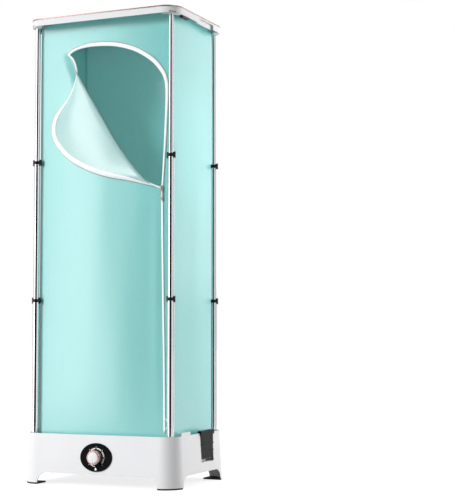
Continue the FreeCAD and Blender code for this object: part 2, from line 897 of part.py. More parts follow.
def make_fan():
    duct = new_body("fan_housing")
    disc(duct, "duct_diameter", "bottom_top", "deck_bottom - bottom_top", "duct_diameter - 2 * duct_wall")
    keep(duct)

    motor = new_body("fan_motor")
    disc(motor, "motor_diameter", "bottom_top", "motor_top - bottom_top")
    bore_from_top(motor, "fan_shaft_diameter + 2 * shaft_gap", "motor_top", "fan_shaft_reach")
    keep(motor)

    wheel = new_body("fan_wheel")
    disc(wheel, "fan_hub_diameter", "hub_low", "fan_hub_height")
    disc(
        wheel,
        "fan_shaft_diameter",
        "motor_top - fan_shaft_reach + fit_gap",
        "fan_shaft_reach - fit_gap + fan_clear",
    )
    sections = []
    middle = "hub_low + fan_hub_height / 2"
    stations = (
        ("fan_hub_diameter / 2 - blade_thick", "blade_root_run", "blade_root_rise"),
        ("fan_diameter / 2", "blade_tip_run", "blade_tip_rise"),
    )
    for reach, run, rise in stations:
        section = new_sketch(wheel, "YZ_Plane", reach)
        polygon(
            section,
            [
                (f"-{run} / 2", f"{middle} - {rise} / 2 - blade_thick / 2"),
                (f"{run} / 2", f"{middle} + {rise} / 2 - blade_thick / 2"),
                (f"{run} / 2", f"{middle} + {rise} / 2 + blade_thick / 2"),
                (f"-{run} / 2", f"{middle} - {rise} / 2 + blade_thick / 2"),
            ],
        )
        sections.append(section)
    blade = wheel.newObject("PartDesign::AdditiveLoft", "fan_wheel_blade")
    blade.Profile = sections[0]
    blade.Sections = sections[1:]
    blade.Ruled = True
    doc.recompute()
    polar(wheel, blade, "blade_count")
    keep(wheel)


def make_heater():
    plate = new_body("heater_plate")
    disc(plate, "duct_diameter - 2 * duct_wall - 2 * fit_gap", "plate_low", "heater_plate_thick")
    window = new_sketch(plate, "XY_Plane", "heater_low")
    half_length = "heater_length / 2 - heater_rail"
    half_depth = "heater_depth / 2 - heater_rail"
    rectangle(window, f"-({half_length})", half_length, f"-({half_depth})", half_depth)
    pocket(plate, window)
    keep(plate)

    fins = new_body("heater_fins")
    rails = new_sketch(fins, "XY_Plane", "heater_low")
    for middle in [f"{place} * (heater_depth - heater_rail) / 2" for place in (-1, 0, 1)]:
        rectangle(
            rails,
            "-heater_length / 2",
            "heater_length / 2",
            f"{middle} - heater_rail / 2",
            f"{middle} + heater_rail / 2",
        )
    pad(fins, rails, "heater_height")
    fin = new_sketch(fins, "XY_Plane", "heater_low")
    rectangle(
        fin,
        "-heater_length / 2",
        "-heater_length / 2 + fin_thick",
        "-heater_depth / 2 + heater_rail / 2",
        "heater_depth / 2 - heater_rail / 2",
    )
    linear(fins, pad(fins, fin, "heater_height"), "X_Axis", "heater_length - fin_thick", "fin_count")
    keep(fins)

    cutout = doc.addObject("Part::Cylinder", "thermal_cutout")
    bind(cutout, "Radius", "cutout_diameter / 2")
    bind(cutout, "Height", "cutout_height")
    keep(move(cutout, "0", "cutout_y", "heater_low"))


def make_outlet_grille():
    host = new_body("outlet_grille")
    disc(host, "grille_diameter", "deck_top", "grille_thick")
    slot = new_sketch(host, "XY_Plane", "deck_top + grille_thick")
    first = "-grille_slot * (grille_slot_count - 1)"
    rectangle(
        slot,
        f"{first} - grille_slot / 2",
        f"{first} + grille_slot / 2",
        "-grille_slot_length / 2",
        "grille_slot_length / 2",
    )
    spread = "2 * grille_slot * (grille_slot_count - 1)"
    linear(host, pocket(host, slot), "X_Axis", spread, "grille_slot_count")
    keep(host)


def make_mains_gland():
    host = new_body("mains_gland")
    lowest = "base_height - gland_height + gland_flange / 2"
    reach = f"base_depth / 2 + base_flare * ({lowest}) / skirt_height"
    flange = new_sketch(host, "XZ_Plane", f"-({reach}) - fit_gap")
    circle(flange, "gland_flange", "-gland_x", "gland_height")
    pad(host, flange, "gland_flange_thick", reverse=True)
    stem = new_sketch(host, "XZ_Plane", f"-({reach}) - fit_gap")
    circle(stem, "gland_diameter", "-gland_x", "gland_height")
    pad(host, stem, "2 * shell_wall + fit_gap")
    through = new_sketch(host, "XZ_Plane")
    circle(through, "gland_bore", "-gland_x", "gland_height")
    pocket(host, through, side="Symmetric")
    keep(host)


# Telescopic poles and their collars

def make_pole(name, stage, x_sign, y_sign):
    host = new_body(f"{stage}_pole_{name}")
    outer = f"{stage}_diameter"
    disc(host, outer, f"{stage}_foot", f"{stage}_top - {stage}_foot", f"{outer} - 2 * tube_wall")
    keep(move(host, f"{x_sign} * pole_x", f"{y_sign} * pole_y"))


def make_collar(name, stage, outer_tube, inner_tube, x_sign, y_sign):
    """A twist-lock ring with two wings, stepped inside over the end of the outer tube."""
    host = new_body(f"{stage}_collar_{name}")
    disc(host, "collar_diameter", "-collar_ring / 2", "collar_ring")
    wings = new_sketch(host, "XZ_Plane")
    polygon(
        wings,
        [
            ("-wing_reach", "-wing_tip / 2"),
            ("0", "-wing_waist / 2"),
            ("wing_reach", "-wing_tip / 2"),
            ("wing_reach", "wing_tip / 2"),
            ("0", "wing_waist / 2"),
            ("-wing_reach", "wing_tip / 2"),
        ],
    )
    winged = pad(host, wings, "wing_thick", side="Symmetric")
    reach = value("wing_reach")

    def at_tip(edge):
        span = edge.BoundBox
        return abs(abs(span.XMin) - reach) < 1e-6 and span.XLength < 1e-6 and span.YLength < 1e-6

    fillet(host, winged, at_tip, "wing_round")
    bore_from_top(host, f"{inner_tube} + 2 * fit_gap", "wing_tip / 2")
    bore_from_below(
        host,
        f"{outer_tube} + 2 * fit_gap",
        "-wing_tip / 2",
        "wing_tip / 2 + collar_seat + fit_gap",
    )
    keep(move(host, f"{x_sign} * pole_x", f"{y_sign} * pole_y", f"{stage}_collar_height"))


# Lid

def crown(inset, height):
    """Outlines of the lid's crown, an inset in from its outside, flatter towards the middle."""
    outlines = []
    for share in CROWN_STEPS:
        rise = f"dome_low + ({height}) * {share} * (2 - {share})"
        width = f"base_width - 2 * ({inset}) + (crown_width - base_width) * {share}"
        depth = f"base_depth - 2 * ({inset}) + (crown_depth - base_depth) * {share}"
        corner = f"base_corner - ({inset}) + (crown_corner - base_corner) * {share}"
        outlines.append((rise, width, depth, corner))
    return outlines


def make_lid():
    band = new_body("lid_band")
    ring = new_sketch(band, "XY_Plane", "lid_height")
    rounded_rectangle(ring, "base_width", "base_depth", "base_corner")
    rounded_rectangle(
        ring,
        "base_width - 2 * shell_wall",
        "base_depth - 2 * shell_wall",
        "base_corner - shell_wall",
    )
    pad(band, ring, "lid_band")
    catch = new_sketch(band, "YZ_Plane")
    rectangle(
        catch,
        "latch_middle - latch_flange / 2 - catch_margin",
        "latch_middle + latch_flange / 2 + catch_margin",
        "lid_height",
        "lid_height + catch_notch_height",
    )
    pocket(band, catch, side="Symmetric")
    notches = new_sketch(band, "XY_Plane", "lid_height")
    for x_sign, y_sign in CORNERS.values():
        circle(
            notches,
            "notch_diameter",
            f"{x_sign} * (corner_x + base_corner * sqrt(1 / 2))",
            f"{y_sign} * (corner_y + base_corner * sqrt(1 / 2))",
        )
    pocket(band, notches, "notch_height", reverse=True)
    keep(band)

    liner = new_body("lid_liner")
    plate = new_sketch(liner, "XY_Plane", "liner_low")
    rounded_rectangle(
        plate,
        "base_width - 2 * shell_wall - 2 * shaft_gap",
        "base_depth - 2 * shell_wall - 2 * shaft_gap",
        "base_corner - shell_wall - shaft_gap",
    )
    pad(liner, plate, "liner_thick")
    keep(liner)

    trim = new_body("trim_ring")
    line = new_sketch(trim, "XY_Plane", "trim_low")
    rounded_rectangle(
        line,
        "base_width + 2 * trim_proud",
        "base_depth + 2 * trim_proud",
        "base_corner + trim_proud",
    )
    rounded_rectangle(
        line,
        "base_width + 2 * trim_proud - 2 * trim_width",
        "base_depth + 2 * trim_proud - 2 * trim_width",
        "base_corner + trim_proud - trim_width",
    )
    pad(trim, line, "trim_height")
    keep(trim)

    dome = new_body("lid_dome")
    loft(dome, "AdditiveLoft", crown("0", "dome_height"), ruled=False)
    loft(dome, "SubtractiveLoft", crown("trim_width - trim_proud", "dome_height - dome_wall"), ruled=False)
    keep(dome)


def make_lid_sockets():
    """A black corner piece under the lid that takes the top of each pole."""
    host = new_body("lid_socket")
    sector = new_sketch(host, "XY_Plane", "lid_height - gusset_drop")
    circle(sector, "2 * gusset_outer", "corner_x", "corner_y")
    circle(sector, "2 * gusset_inner", "corner_x", "corner_y")
    pad(host, sector, "gusset_thick")
    clear = new_sketch(host, "XY_Plane", "lid_height - gusset_drop + gusset_thick")
    polygon(
        clear,
        [
            ("corner_x", "corner_y"),
            ("corner_x", "base_depth"),
            ("0", "base_depth"),
            ("0", "0"),
            ("base_width", "0"),
            ("base_width", "corner_y"),
        ],
    )
    pocket(host, clear)
    disc(
        host,
        "lid_socket_diameter",
        "lid_height - gusset_drop",
        "liner_low - lid_height + gusset_drop",
        None,
        "pole_x",
        "pole_y",
    )
    bore_from_below(
        host,
        "upper_diameter + 2 * fit_gap",
        "lid_height - gusset_drop",
        "lid_bore_top - lid_height + gusset_drop",
        "pole_x",
        "pole_y",
    )
    four_corners("lid_sockets", host)


def make_lid_fittings():
    plate = box(
        "lid_catch",
        "lid_wall_x - catch_depth - catch_wall",
        "lid_wall_x - catch_depth",
        "latch_middle - latch_flange / 2 - 2 * catch_margin",
        "latch_middle + latch_flange / 2 + 2 * catch_margin",
        "lid_height",
        "liner_low",
    )
    left_and_right("lid_catches", plate)

    block = box(
        "receiver_block",
        "lid_wall_x - receiver_slot - 2 * receiver_thick",
        "lid_wall_x - fit_gap",
        "tongue_middle - receiver_length / 2",
        "tongue_middle + receiver_length / 2",
        "lid_height - receiver_drop",
        "liner_low",
    )
    slot = box(
        "receiver_slot_cut",
        "lid_wall_x - receiver_slot - receiver_thick",
        "lid_wall_x - receiver_thick",
        "tongue_middle - receiver_length",
        "tongue_middle + receiver_length",
        "lid_height - 2 * receiver_drop",
        "lid_height + tongue_rise",
    )
    left_and_right("locating_receivers", cut("locating_receiver", block, [slot]))

    rail = new_body("hanging_rail")
    end = new_sketch(rail, "XZ_Plane")
    circle(end, "rail_diameter", "0", "rail_height")
    pad(rail, end, "rail_length", side="Symmetric")
    keep(rail)

    bracket = new_body("rail_bracket")
    plate_outline = new_sketch(bracket, "XZ_Plane", "-bracket_y")
    rectangle(
        plate_outline,
        "-bracket_width / 2",
        "bracket_width / 2",
        "rail_height - rail_diameter / 2 - bracket_rim",
        "liner_low",
    )
    circle(plate_outline, "rail_diameter + 2 * shaft_gap", "0", "rail_height")
    pad(bracket, plate_outline, "bracket_thick", side="Symmetric")
    group("rail_brackets", [bracket, mirror(bracket, "rail_bracket_front", Vector(0, 1, 0))])


# Fabric cover

def cover_tube(label):
    host = new_body(label)
    wall = new_sketch(host, "XY_Plane", "cover_low")
    rounded_rectangle(wall, "cover_width", "cover_depth", "cover_corner")
    rounded_rectangle(
        wall,
        "cover_width - 2 * cloth_thick",
        "cover_depth - 2 * cloth_thick",
        "cover_corner - cloth_thick",
    )
    pad(host, wall, "cover_top - cover_low")
    return host


def door_arcs():
    """The arch's shoulder and crown as (middle, radius, start, stop), seen from the front."""
    shoulder = Vector(value("door_shoulder_x"), value("door_side_height"), 0)
    crown_middle = Vector(value("door_crown_x"), value("door_crown_height"), 0)
    meeting = math.atan2(shoulder.y - crown_middle.y, shoulder.x - crown_middle.x)
    radius = value("door_crown")
    end = math.acos((value("door_end_x") - crown_middle.x) / radius)
    return [(shoulder, value("door_shoulder"), 0, meeting), (crown_middle, radius, meeting, end)]


def draw_door(drawing):
    """The open part of the arched door: zip edge, arch, then down along the folded cloth."""
    up = Vector(0, 0, 1)
    (shoulder, small, start, meeting), (crown_middle, large, _, stop) = door_arcs()
    end = crown_middle + large * Vector(math.cos(stop), math.sin(stop), 0)
    points = {
        "slider": Vector(value("zip_x"), value("slider_height"), 0),
        "side": Vector(value("zip_x"), value("door_side_height"), 0),
        "end": end,
        "fold_top": Vector(value("fold_top_x"), value("fold_top_z"), 0),
        "fold_low": Vector(value("fold_low_x"), value("fold_low_z"), 0),
    }

    def straight(a, b):
        return drawing.addGeometry(Part.LineSegment(points[a], points[b]))

    def bend(middle, radius, first, last):
        return drawing.addGeometry(Part.ArcOfCircle(Part.Circle(middle, up, radius), first, last))

    def join(first, second, kind="Coincident"):
        drawing.addConstraint(Sketcher.Constraint(kind, first, 2, second, 1))

    side = straight("slider", "side")
    corner = bend(shoulder, small, start, meeting)
    arch = bend(crown_middle, large, meeting, stop)
    upper = straight("end", "fold_top")
    fold = straight("fold_top", "fold_low")
    lower = straight("fold_low", "slider")
    join(side, corner, "Tangent")
    join(corner, arch, "Tangent")
    join(arch, upper)
    join(upper, fold)
    join(fold, lower)
    join(lower, side)
    locate(drawing, side, 1, "zip_x", "slider_height")
    locate(drawing, side, 2, "zip_x", "door_side_height")
    size(drawing, "Radius", (corner,), "door_shoulder")
    locate(drawing, arch, 3, "door_crown_x", "door_crown_height")
    size(drawing, "DistanceX", (-1, 1, upper, 1), "door_end_x")
    locate(drawing, fold, 1, "fold_top_x", "fold_top_z")
    locate(drawing, fold, 2, "fold_low_x", "fold_low_z")


def make_cover():
    front = cover_tube("cover_front")
    rest = new_sketch(front, "XY_Plane", "cover_top")
    rectangle(rest, "-cover_width", "cover_width", "-cover_split", "cover_depth")
    pocket(front, rest)
    door = new_sketch(front, "XZ_Plane")
    draw_door(door)
    pocket(front, door, reverse=True)
    keep(front)

    sides = cover_tube("cover_sides")
    panel = new_sketch(sides, "XY_Plane", "cover_top")
    rectangle(panel, "-cover_width", "cover_width", "-cover_depth", "-cover_split + fit_gap")
    pocket(sides, panel)
    keep(sides)


def make_door_flap():
    """The corner of the door, rolled outwards over its fold and lying back on the front cloth."""
    top = Vector(value("fold_top_x"), 0, value("fold_top_z"))
    low = Vector(value("fold_low_x"), 0, value("fold_low_z"))
    along = (low - top).normalize()
    across = Vector(along.z, 0, -along.x)
    outward = Vector(0, -1, 0)
    gap, thick = value("fit_gap"), value("flap_thick")
    roll = value("fold_radius")
    cloth = top + outward * value("cover_front_y") - across * gap
    run = low - top
    edge_points = [top + Vector(x * run.x, 0, z * run.z) for x, z in FLAP_EDGE]
    widest = max((point - top).Length for point in edge_points)

    def spot(sideways, lift):
        return cloth + across * sideways + outward * lift

    inner = roll - thick
    outline = Part.Wire([
        Part.Arc(spot(0, 0), spot(-roll, roll), spot(0, 2 * roll)).toShape(),
        Part.makeLine(spot(0, 2 * roll), spot(widest, value("flap_lift") + thick)),
        Part.makeLine(spot(widest, value("flap_lift") + thick), spot(widest, value("flap_lift"))),
        Part.makeLine(spot(widest, value("flap_lift")), spot(0, 2 * roll - thick)),
        Part.Arc(spot(0, 2 * roll - thick), spot(-inner, roll), spot(0, thick)).toShape(),
        Part.makeLine(spot(0, thick), spot(0, 0)),
    ])
    rolled = Part.Face(outline).extrude(run)

    edge = Part.BSplineCurve()
    edge.interpolate([top] + edge_points + [low])
    beyond = across * (-2 * roll)
    trim = Part.Wire([
        edge.toShape(),
        Part.makeLine(low, low + beyond),
        Part.makeLine(low + beyond, top + beyond),
        Part.makeLine(top + beyond, top),
    ])
    prism = Part.Face(trim).extrude(outward * value("cover_depth"))
    flap = doc.addObject("Part::Feature", "door_flap")
    flap.Shape = rolled.common(prism).Solids[0]
    keep(flap)


def make_door_zipper():
    """White zip tape up the closed seam, then round the open edge of the door."""
    half = value("zip_width / 2")
    back = -value("zip_back")
    arcs = door_arcs()

    def spot(x, z):
        return Vector(x, back, z)

    def turned(middle, radius, angle):
        return spot(middle.x + radius * math.cos(angle), middle.y + radius * math.sin(angle))

    def side(offset):
        """The tape's edge at one side, from the bottom of the zip to the door's open end."""
        x = value("zip_x") + offset
        edges = [Part.makeLine(spot(x, value("deck_top + zip_foot")), spot(x, value("door_side_height")))]
        for middle, radius, start, stop in arcs:
            angles = (start, (start + stop) / 2, stop)
            edges.append(Part.Arc(*[turned(middle, radius + offset, a) for a in angles]).toShape())
        return edges

    outer, inner = side(half), side(-half)
    middle, radius, _, stop = arcs[-1]
    end = Part.makeLine(turned(middle, radius + half, stop), turned(middle, radius - half, stop))
    foot = Part.makeLine(inner[0].firstVertex().Point, outer[0].firstVertex().Point)
    outline = Part.Wire(Part.__sortEdges__(outer + [end] + inner + [foot]))
    tape = doc.addObject("Part::Feature", "door_zipper")
    tape.Shape = Part.Face(outline).extrude(Vector(0, -value("zip_thick"), 0))
    keep(tape)


def make_zipper_slider():
    host = new_body("zipper_slider")
    case = new_sketch(host, "XZ_Plane", "zip_front + fit_gap")
    rectangle(
        case,
        "zip_x - slider_width / 2",
        "zip_x + slider_width / 2",
        "slider_height - slider_tall",
        "slider_height",
    )
    pad(host, case, "slider_thick")
    pull = new_sketch(host, "XZ_Plane", "zip_front + fit_gap + slider_thick")
    rectangle(
        pull,
        "zip_x - pull_width / 2",
        "zip_x + pull_width / 2",
        "slider_height - slider_tall / 2 - pull_length",
        "slider_height - slider_tall / 4",
    )
    pad(host, pull, "pull_thick")
    keep(host)


make_base_shell()
make_base_deck()
make_bottom_cover()
make_rubber_feet()
make_pole_sockets()
make_latches()
make_control_dial()
make_fan()
make_heater()
make_outlet_grille()
make_mains_gland()
for corner_name, (x_side, y_side) in CORNERS.items():
    for pole_stage in ("lower", "middle", "upper"):
        make_pole(corner_name, pole_stage, x_side, y_side)
    make_collar(corner_name, "lower", "lower_diameter", "middle_diameter", x_side, y_side)
    make_collar(corner_name, "upper", "middle_diameter", "upper_diameter", x_side, y_side)
make_lid()
make_lid_sockets()
make_lid_fittings()
make_cover()
make_door_flap()
make_door_zipper()
make_zipper_slider()
doc.recompute()

# Check and write
failed = [item.Label for item in doc.Objects if {"Invalid", "Error"} & set(item.State)]
if failed:
    raise RuntimeError("failed to recompute: " + ", ".join(failed))
for item in parts:
    if item.Shape.isNull() or not item.Shape.isValid() or not item.Shape.Solids:
        raise RuntimeError("bad shape: " + item.Label)

os.makedirs("parts", exist_ok=True)
for item in parts:
    item.Shape.exportStep(os.path.join("parts", item.Label + ".step"))
print(len(parts), "sub-parts written")
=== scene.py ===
import math
from collections import Counter

import bmesh
import bpy
from mathutils import Matrix, Vector, geometry


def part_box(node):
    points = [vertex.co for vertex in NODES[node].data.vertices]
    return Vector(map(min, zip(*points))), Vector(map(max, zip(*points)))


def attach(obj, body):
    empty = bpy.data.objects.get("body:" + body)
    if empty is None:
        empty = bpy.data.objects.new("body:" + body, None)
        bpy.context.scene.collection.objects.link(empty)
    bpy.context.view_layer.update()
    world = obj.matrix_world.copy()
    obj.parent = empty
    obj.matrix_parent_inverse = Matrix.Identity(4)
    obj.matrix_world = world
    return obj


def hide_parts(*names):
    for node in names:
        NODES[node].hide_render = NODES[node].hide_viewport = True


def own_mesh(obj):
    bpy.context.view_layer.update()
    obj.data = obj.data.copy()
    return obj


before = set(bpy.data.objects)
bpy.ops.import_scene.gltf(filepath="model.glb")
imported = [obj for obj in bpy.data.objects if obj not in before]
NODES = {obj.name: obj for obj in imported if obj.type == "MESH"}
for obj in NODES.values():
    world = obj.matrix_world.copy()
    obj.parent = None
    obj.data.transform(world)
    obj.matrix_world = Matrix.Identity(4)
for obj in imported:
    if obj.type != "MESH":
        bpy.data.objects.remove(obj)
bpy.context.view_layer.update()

# Folding clothes dryer: white heater base and lid, chrome poles, teal cloth cover with a zip door.
# Metres. Built here: the cover's cloth, bindings and zip, the marks on the dial, the knob's cap and
# small screws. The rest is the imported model.

AHEAD = Vector((0, -1, 0))

# Cover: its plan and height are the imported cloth's, with rounded corners
COVER_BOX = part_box("cover_front")
HALF_X = COVER_BOX[1][0]
HALF_Y = -COVER_BOX[0][1]
COVER_LOW = COVER_BOX[0][2]
COVER_TOP = COVER_BOX[1][2]
COVER_HEIGHT = COVER_TOP - COVER_LOW
CLOTH = 0.0008
CORNER = 0.007
STRAIGHT = HALF_X - CORNER
ARC = math.pi / 2 * CORNER
SIDE = 2 * (HALF_Y - CORNER)
FRONT_REACH = STRAIGHT + ARC
ROUND = 4 * FRONT_REACH + 2 * SIDE

# Slack: how far the cloth stands out, how it grows from the hems, and long soft folds as depth,
# waves across and waves up
FRONT_BULGE = 0.007
SIDE_BULGE = 0.0035
HEM_POWER = 0.6
FRONT_FOLDS = ((0.0006, 19, 3.1), (0.0002, 43, -4.3))
SIDE_FOLDS = ((0.0007, 31, 2.3), (0.0003, 57, -3.7))

# Pleat beside the closed part of the zip
PLEAT_X = 0.186
PLEAT_WIDTH = 0.012
PLEAT_DEPTH = 0.0009
PLEAT_TOP = 0.93
PLEAT_FADE = 0.10

# Net of the cloth's meshes
ROWS = 112
HALF_COLUMNS = 20
BACK_COLUMNS = 38
SIDE_COLUMNS = 22
CORNER_STEPS = 5
EDGE_CUTS = 120
FOLD_CUTS = 70
NET_CLEARANCE = 0.004
SAME_POINT = 1e-6

# Door: its edge from the slider up the right side and over the arch, and the fold of its open corner
DOOR_EDGE = [
    (0.204, 0.915), (0.209, 0.985), (0.216, 1.110), (0.2195, 1.215), (0.214, 1.258),
    (0.196, 1.290), (0.166, 1.321), (0.108, 1.356), (0.037, 1.377), (-0.035, 1.383),
    (-0.080, 1.379), (-0.112, 1.370), (-0.132, 1.358),
]
FOLD = [
    (-0.132, 1.358), (-0.120, 1.340), (-0.108, 1.312), (-0.086, 1.268), (-0.030, 1.181),
    (0.042, 1.065), (0.086, 1.004), (0.129, 0.955), (0.170, 0.926), (0.204, 0.915),
]
FREE_EDGE = [
    (-0.132, 1.358), (-0.116, 1.344), (-0.104, 1.318), (-0.100, 1.290), (-0.106, 1.254),
    (-0.121, 1.220), (-0.149, 1.186), (-0.172, 1.155), (-0.180, 1.121), (-0.172, 1.086),
    (-0.148, 1.053), (-0.108, 1.019), (-0.054, 0.991), (0.008, 0.969), (0.078, 0.952),
    (0.148, 0.934), (0.182, 0.923), (0.204, 0.915),
]
ZIP_LINE = [(0.204, 0.915), (0.205, 0.786), (0.208, 0.572), (0.211, 0.389), (0.213, 0.168)]
FOOT_LOOP = [
    (0.2130, 0.214), (0.2205, 0.208), (0.2240, 0.196), (0.2215, 0.184), (0.2165, 0.180), (0.2135, 0.188),
]

# Cloth that turns in beside the tip of the open door: its reach, and where it fades in height and width
TIP_X, TIP_Z = DOOR_EDGE[-1]
TIP_SLANT = 0.42
TIP_DEPTH = 0.0045
TIP_REACH = 0.036
TIP_LOWER_FADE = (1.19, 1.27)
TIP_UPPER_FADE = (1.374, 1.345)
TIP_RIGHT_FADE = (0.0, -0.08)

# Crease that runs down to the left from the tip
CREASE_START = Vector((-0.140, 1.352))
CREASE_RUN = Vector((-0.66, -0.75))
CREASE_OFF = Vector((-0.75, 0.66))
CREASE_DEPTH = 0.0012
CREASE_WIDTH = 0.009
CREASE_RISE = (-0.005, 0.02)
CREASE_FADE = (0.10, 0.04)

# Turned-out corner of the door: its roll along the fold, then its lift off the front up to its free edge
FLAP_ROWS = 90
ROLL_STEPS = 8
FLAP_STEPS = 12
FOLD_RADIUS = 0.007
FOLD_SHARE = 0.22
FLAP_GAP = 0.0012
FLAP_EDGE_LIFT = 0.0045
FLAP_EDGE_WIDTH = 0.04
FLAP_BELLY = 0.0035
FLAP_BELLY_WIDTH = 0.12
FLAP_TURN_WIDTH = 0.05
INWARD_STEPS = 3
FLAP_UV_STEP = 0.01

# Bindings and zip: widths as share of the run and width; the section as shares of width and thickness
TAPE_SECTION = [(-0.5, 0.0), (-0.5, 0.55), (-0.40, 0.95), (0.0, 1.1), (0.40, 0.95), (0.5, 0.55), (0.5, 0.0)]
TAPE_LIFT = 0.0006
ARCH_POINTS = 130
ARCH_WIDTHS = [(0, 0.0055), (0.35, 0.0085), (0.55, 0.0130), (0.85, 0.0130), (1, 0.0075)]
ARCH_THICKNESS = 0.0018
FLAP_WIDTHS = [(0, 0.0055), (0.14, 0.0075), (0.36, 0.0165), (0.75, 0.0165), (0.92, 0.0085), (1, 0.0040)]
FLAP_THICKNESS = 0.0022
ZIP_POINTS = 90
ZIP_WIDTH = 0.0062
ZIP_THICKNESS = 0.0010
LOOP_POINTS = 30
LOOP_LIFT = 0.0016
LOOP_WIDTH = 0.0024
LOOP_THICKNESS = 0.0012

# Coils of the zip: pitch, sizes of a tooth across, out and along, and how far they lie from the tapes
TOOTH_PITCH = 0.0026
TOOTH_TOP = 0.7
ZIP_TOOTH = (0.0024, 0.0011, 0.0017)
ARCH_TOOTH = (0.0022, 0.0014, 0.0017)
FLAP_TOOTH = (0.0020, 0.0014, 0.0017)
ZIP_COIL_OFFSET = Vector((0.0034, -0.0004, 0))
ARCH_COIL_GAP = 0.0008
FLAP_COIL_GAP = 0.0006
FLAP_COIL_ENDS = 4

# Zip slider: blocks of its body and bridge as place, size and edge radius, and bars of its pull
SLIDER_LIFT = 0.0028
SLIDER_BLOCKS = (
    ((0, -0.001, 0), (0.011, 0.0042, 0.017), 0.0018),
    ((0, -0.0042, 0.001), (0.003, 0.003, 0.011), 0.001),
)
PULL_PLACE = Vector((0.0005, -0.0042, -0.019))
PULL_EDGE = 0.0005
PULL_BARS = (
    ((0, 0, 0.014), (0.0062, 0.0013, 0.004)),
    ((-0.0024, 0, 0), (0.0016, 0.0013, 0.026)),
    ((0.0024, 0, 0), (0.0016, 0.0013, 0.026)),
    ((0, 0, -0.014), (0.0075, 0.0016, 0.010)),
)

# Control dial: its lean follows the flared front; angles run clockwise from the top
LEAN = 0.052218
DIAL_HEIGHT = 0.090
DIAL_BOTTOM = math.radians(180)
DIAL_STEP = math.radians(45)
PRINT_LIFT = 0.00012
ARC_COUNT = 7
ARC_GAP = math.radians(4)
ARC_SPAN = math.radians(36)
ARC_RADIUS = 0.0274
ARC_WIDTH = 0.0024
ARC_GROWTH = 0.0004
TICK_COUNT = 8
TICK_HALF = 0.016
TICK_RADIUS = 0.0318
TICK_LENGTH = 0.0036
STRIP_STEP = 0.05

# White cap on the knob, as rings of radius and height, and its pointer
CAP_STEPS = 48
CAP_RINGS = ((0.0170, 0.0), (0.0168, 0.0007), (0.0158, 0.0011), (0.0080, 0.0013), (0.0002, 0.0014))
POINTER_HALF = 0.06
POINTER_RADIUS = 0.0122
POINTER_LENGTH = 0.0060
POINTER_LIFT = 0.0014

# Screws under the base and the lid
SCREW_RADIUS = 0.0034
SCREW_FACE_RADIUS = 0.0026
SCREW_HEAD = 0.0014
SCREW_CROSS = (0.0036, 0.0008, 0.0005)
SCREW_EDGE = 0.0001
SCREW_DROP = 0.0006
SCREW_X = (-0.19, 0.0, 0.19)
SCREW_Y = (-0.10, 0.10)
LINER_SPREAD_X = 1.08
LINER_SPREAD_Y = 1.5

# Camera: place, and turn, tilt and roll in degrees
CAMERA_PLACE = (2.00972, -3.75196, 0.47538)
CAMERA_TURN = (-23.767, 3.543, -0.046)
FOCAL_LENGTH = 94.776
SENSOR_WIDTH = 36
CLIP_END = 60

# Studio: level of the walls from straight behind the object, 0, to the dark doorway before it, 1
DOORWAY = (0.52, -0.854, 0.0)
WALL_LEVELS = [(0.0, 0.68), (0.50, 0.68), (0.66, 0.50), (0.78, 0.19), (0.90, 0.07), (1.0, 0.05)]
KEY_ENERGY = 2.32
KEY_ANGLE = math.radians(22)
KEY_DIRECTION = Vector((2.3, 4.5, -2.6))
FLOOR_HALF = 30
FLOOR_LEVEL = 0.30
FLOOR_GLOW = 0.80
BOARD_LEVEL = 0.01
BOARD_HEIGHT = 2.6
BOARDS = (
    ((-0.98, -2.05), (1.84, -1.57)),
    ((1.25, -0.18), (1.25, 0.08)),
    ((1.17, 0.48), (1.04, 0.71)),
    ((-0.55, 1.12), (-0.80, 0.95)),
    ((-1.25, 0.18), (-1.25, -0.08)),
)
STAGE_ROUGHNESS = 0.9

# Stretch that most of a noise lies in, radians that a wave texture turns through in one unit, and steps
# of a smooth curve between two of its points
NOISE_RANGE = (0.3, 0.7)
WAVE_TURN = 20
CURVE_STEPS = 24


# Curves

def smooth(points, count):
    """Evenly spaced points along a smooth curve through the given ones."""
    knots = [Vector(p) for p in points]
    knots = [2 * knots[0] - knots[1]] + knots + [2 * knots[-1] - knots[-2]]
    fine = []
    for a, b, c, d in zip(knots, knots[1:], knots[2:], knots[3:]):
        for step in range(CURVE_STEPS):
            t = step / CURVE_STEPS
            curve = 2 * b + (c - a) * t + (2 * a - 5 * b + 4 * c - d) * t * t
            fine.append((curve + (3 * b - a - 3 * c + d) * t ** 3) / 2)
    fine.append(knots[-2])
    lengths = [0.0]
    for a, b in zip(fine, fine[1:]):
        lengths.append(lengths[-1] + (b - a).length)
    out = []
    at = 0
    for step in range(count):
        want = lengths[-1] * step / (count - 1)
        while at < len(fine) - 2 and lengths[at + 1] < want:
            at += 1
        share = (want - lengths[at]) / max(lengths[at + 1] - lengths[at], 1e-9)
        out.append(fine[at].lerp(fine[at + 1], share))
    return out


def inside(point, loop):
    """Whether a point of the flat cloth lies in a closed loop."""
    found = False
    for a, b in zip(loop, loop[1:] + loop[:1]):
        if (a.y > point.y) != (b.y > point.y):
            if point.x < a.x + (b.x - a.x) * (point.y - a.y) / (b.y - a.y):
                found = not found
    return found


def loop_area(loop):
    """Area of a closed loop."""
    return abs(sum(a.x * b.y - b.x * a.y for a, b in zip(loop, loop[1:] + loop[:1]))) / 2


def ease(value, start, end):
    """Rise smoothly from 0 at start to 1 at end."""
    share = min(1, max(0, (value - start) / (end - start)))
    return share * share * (3 - 2 * share)


# Materials

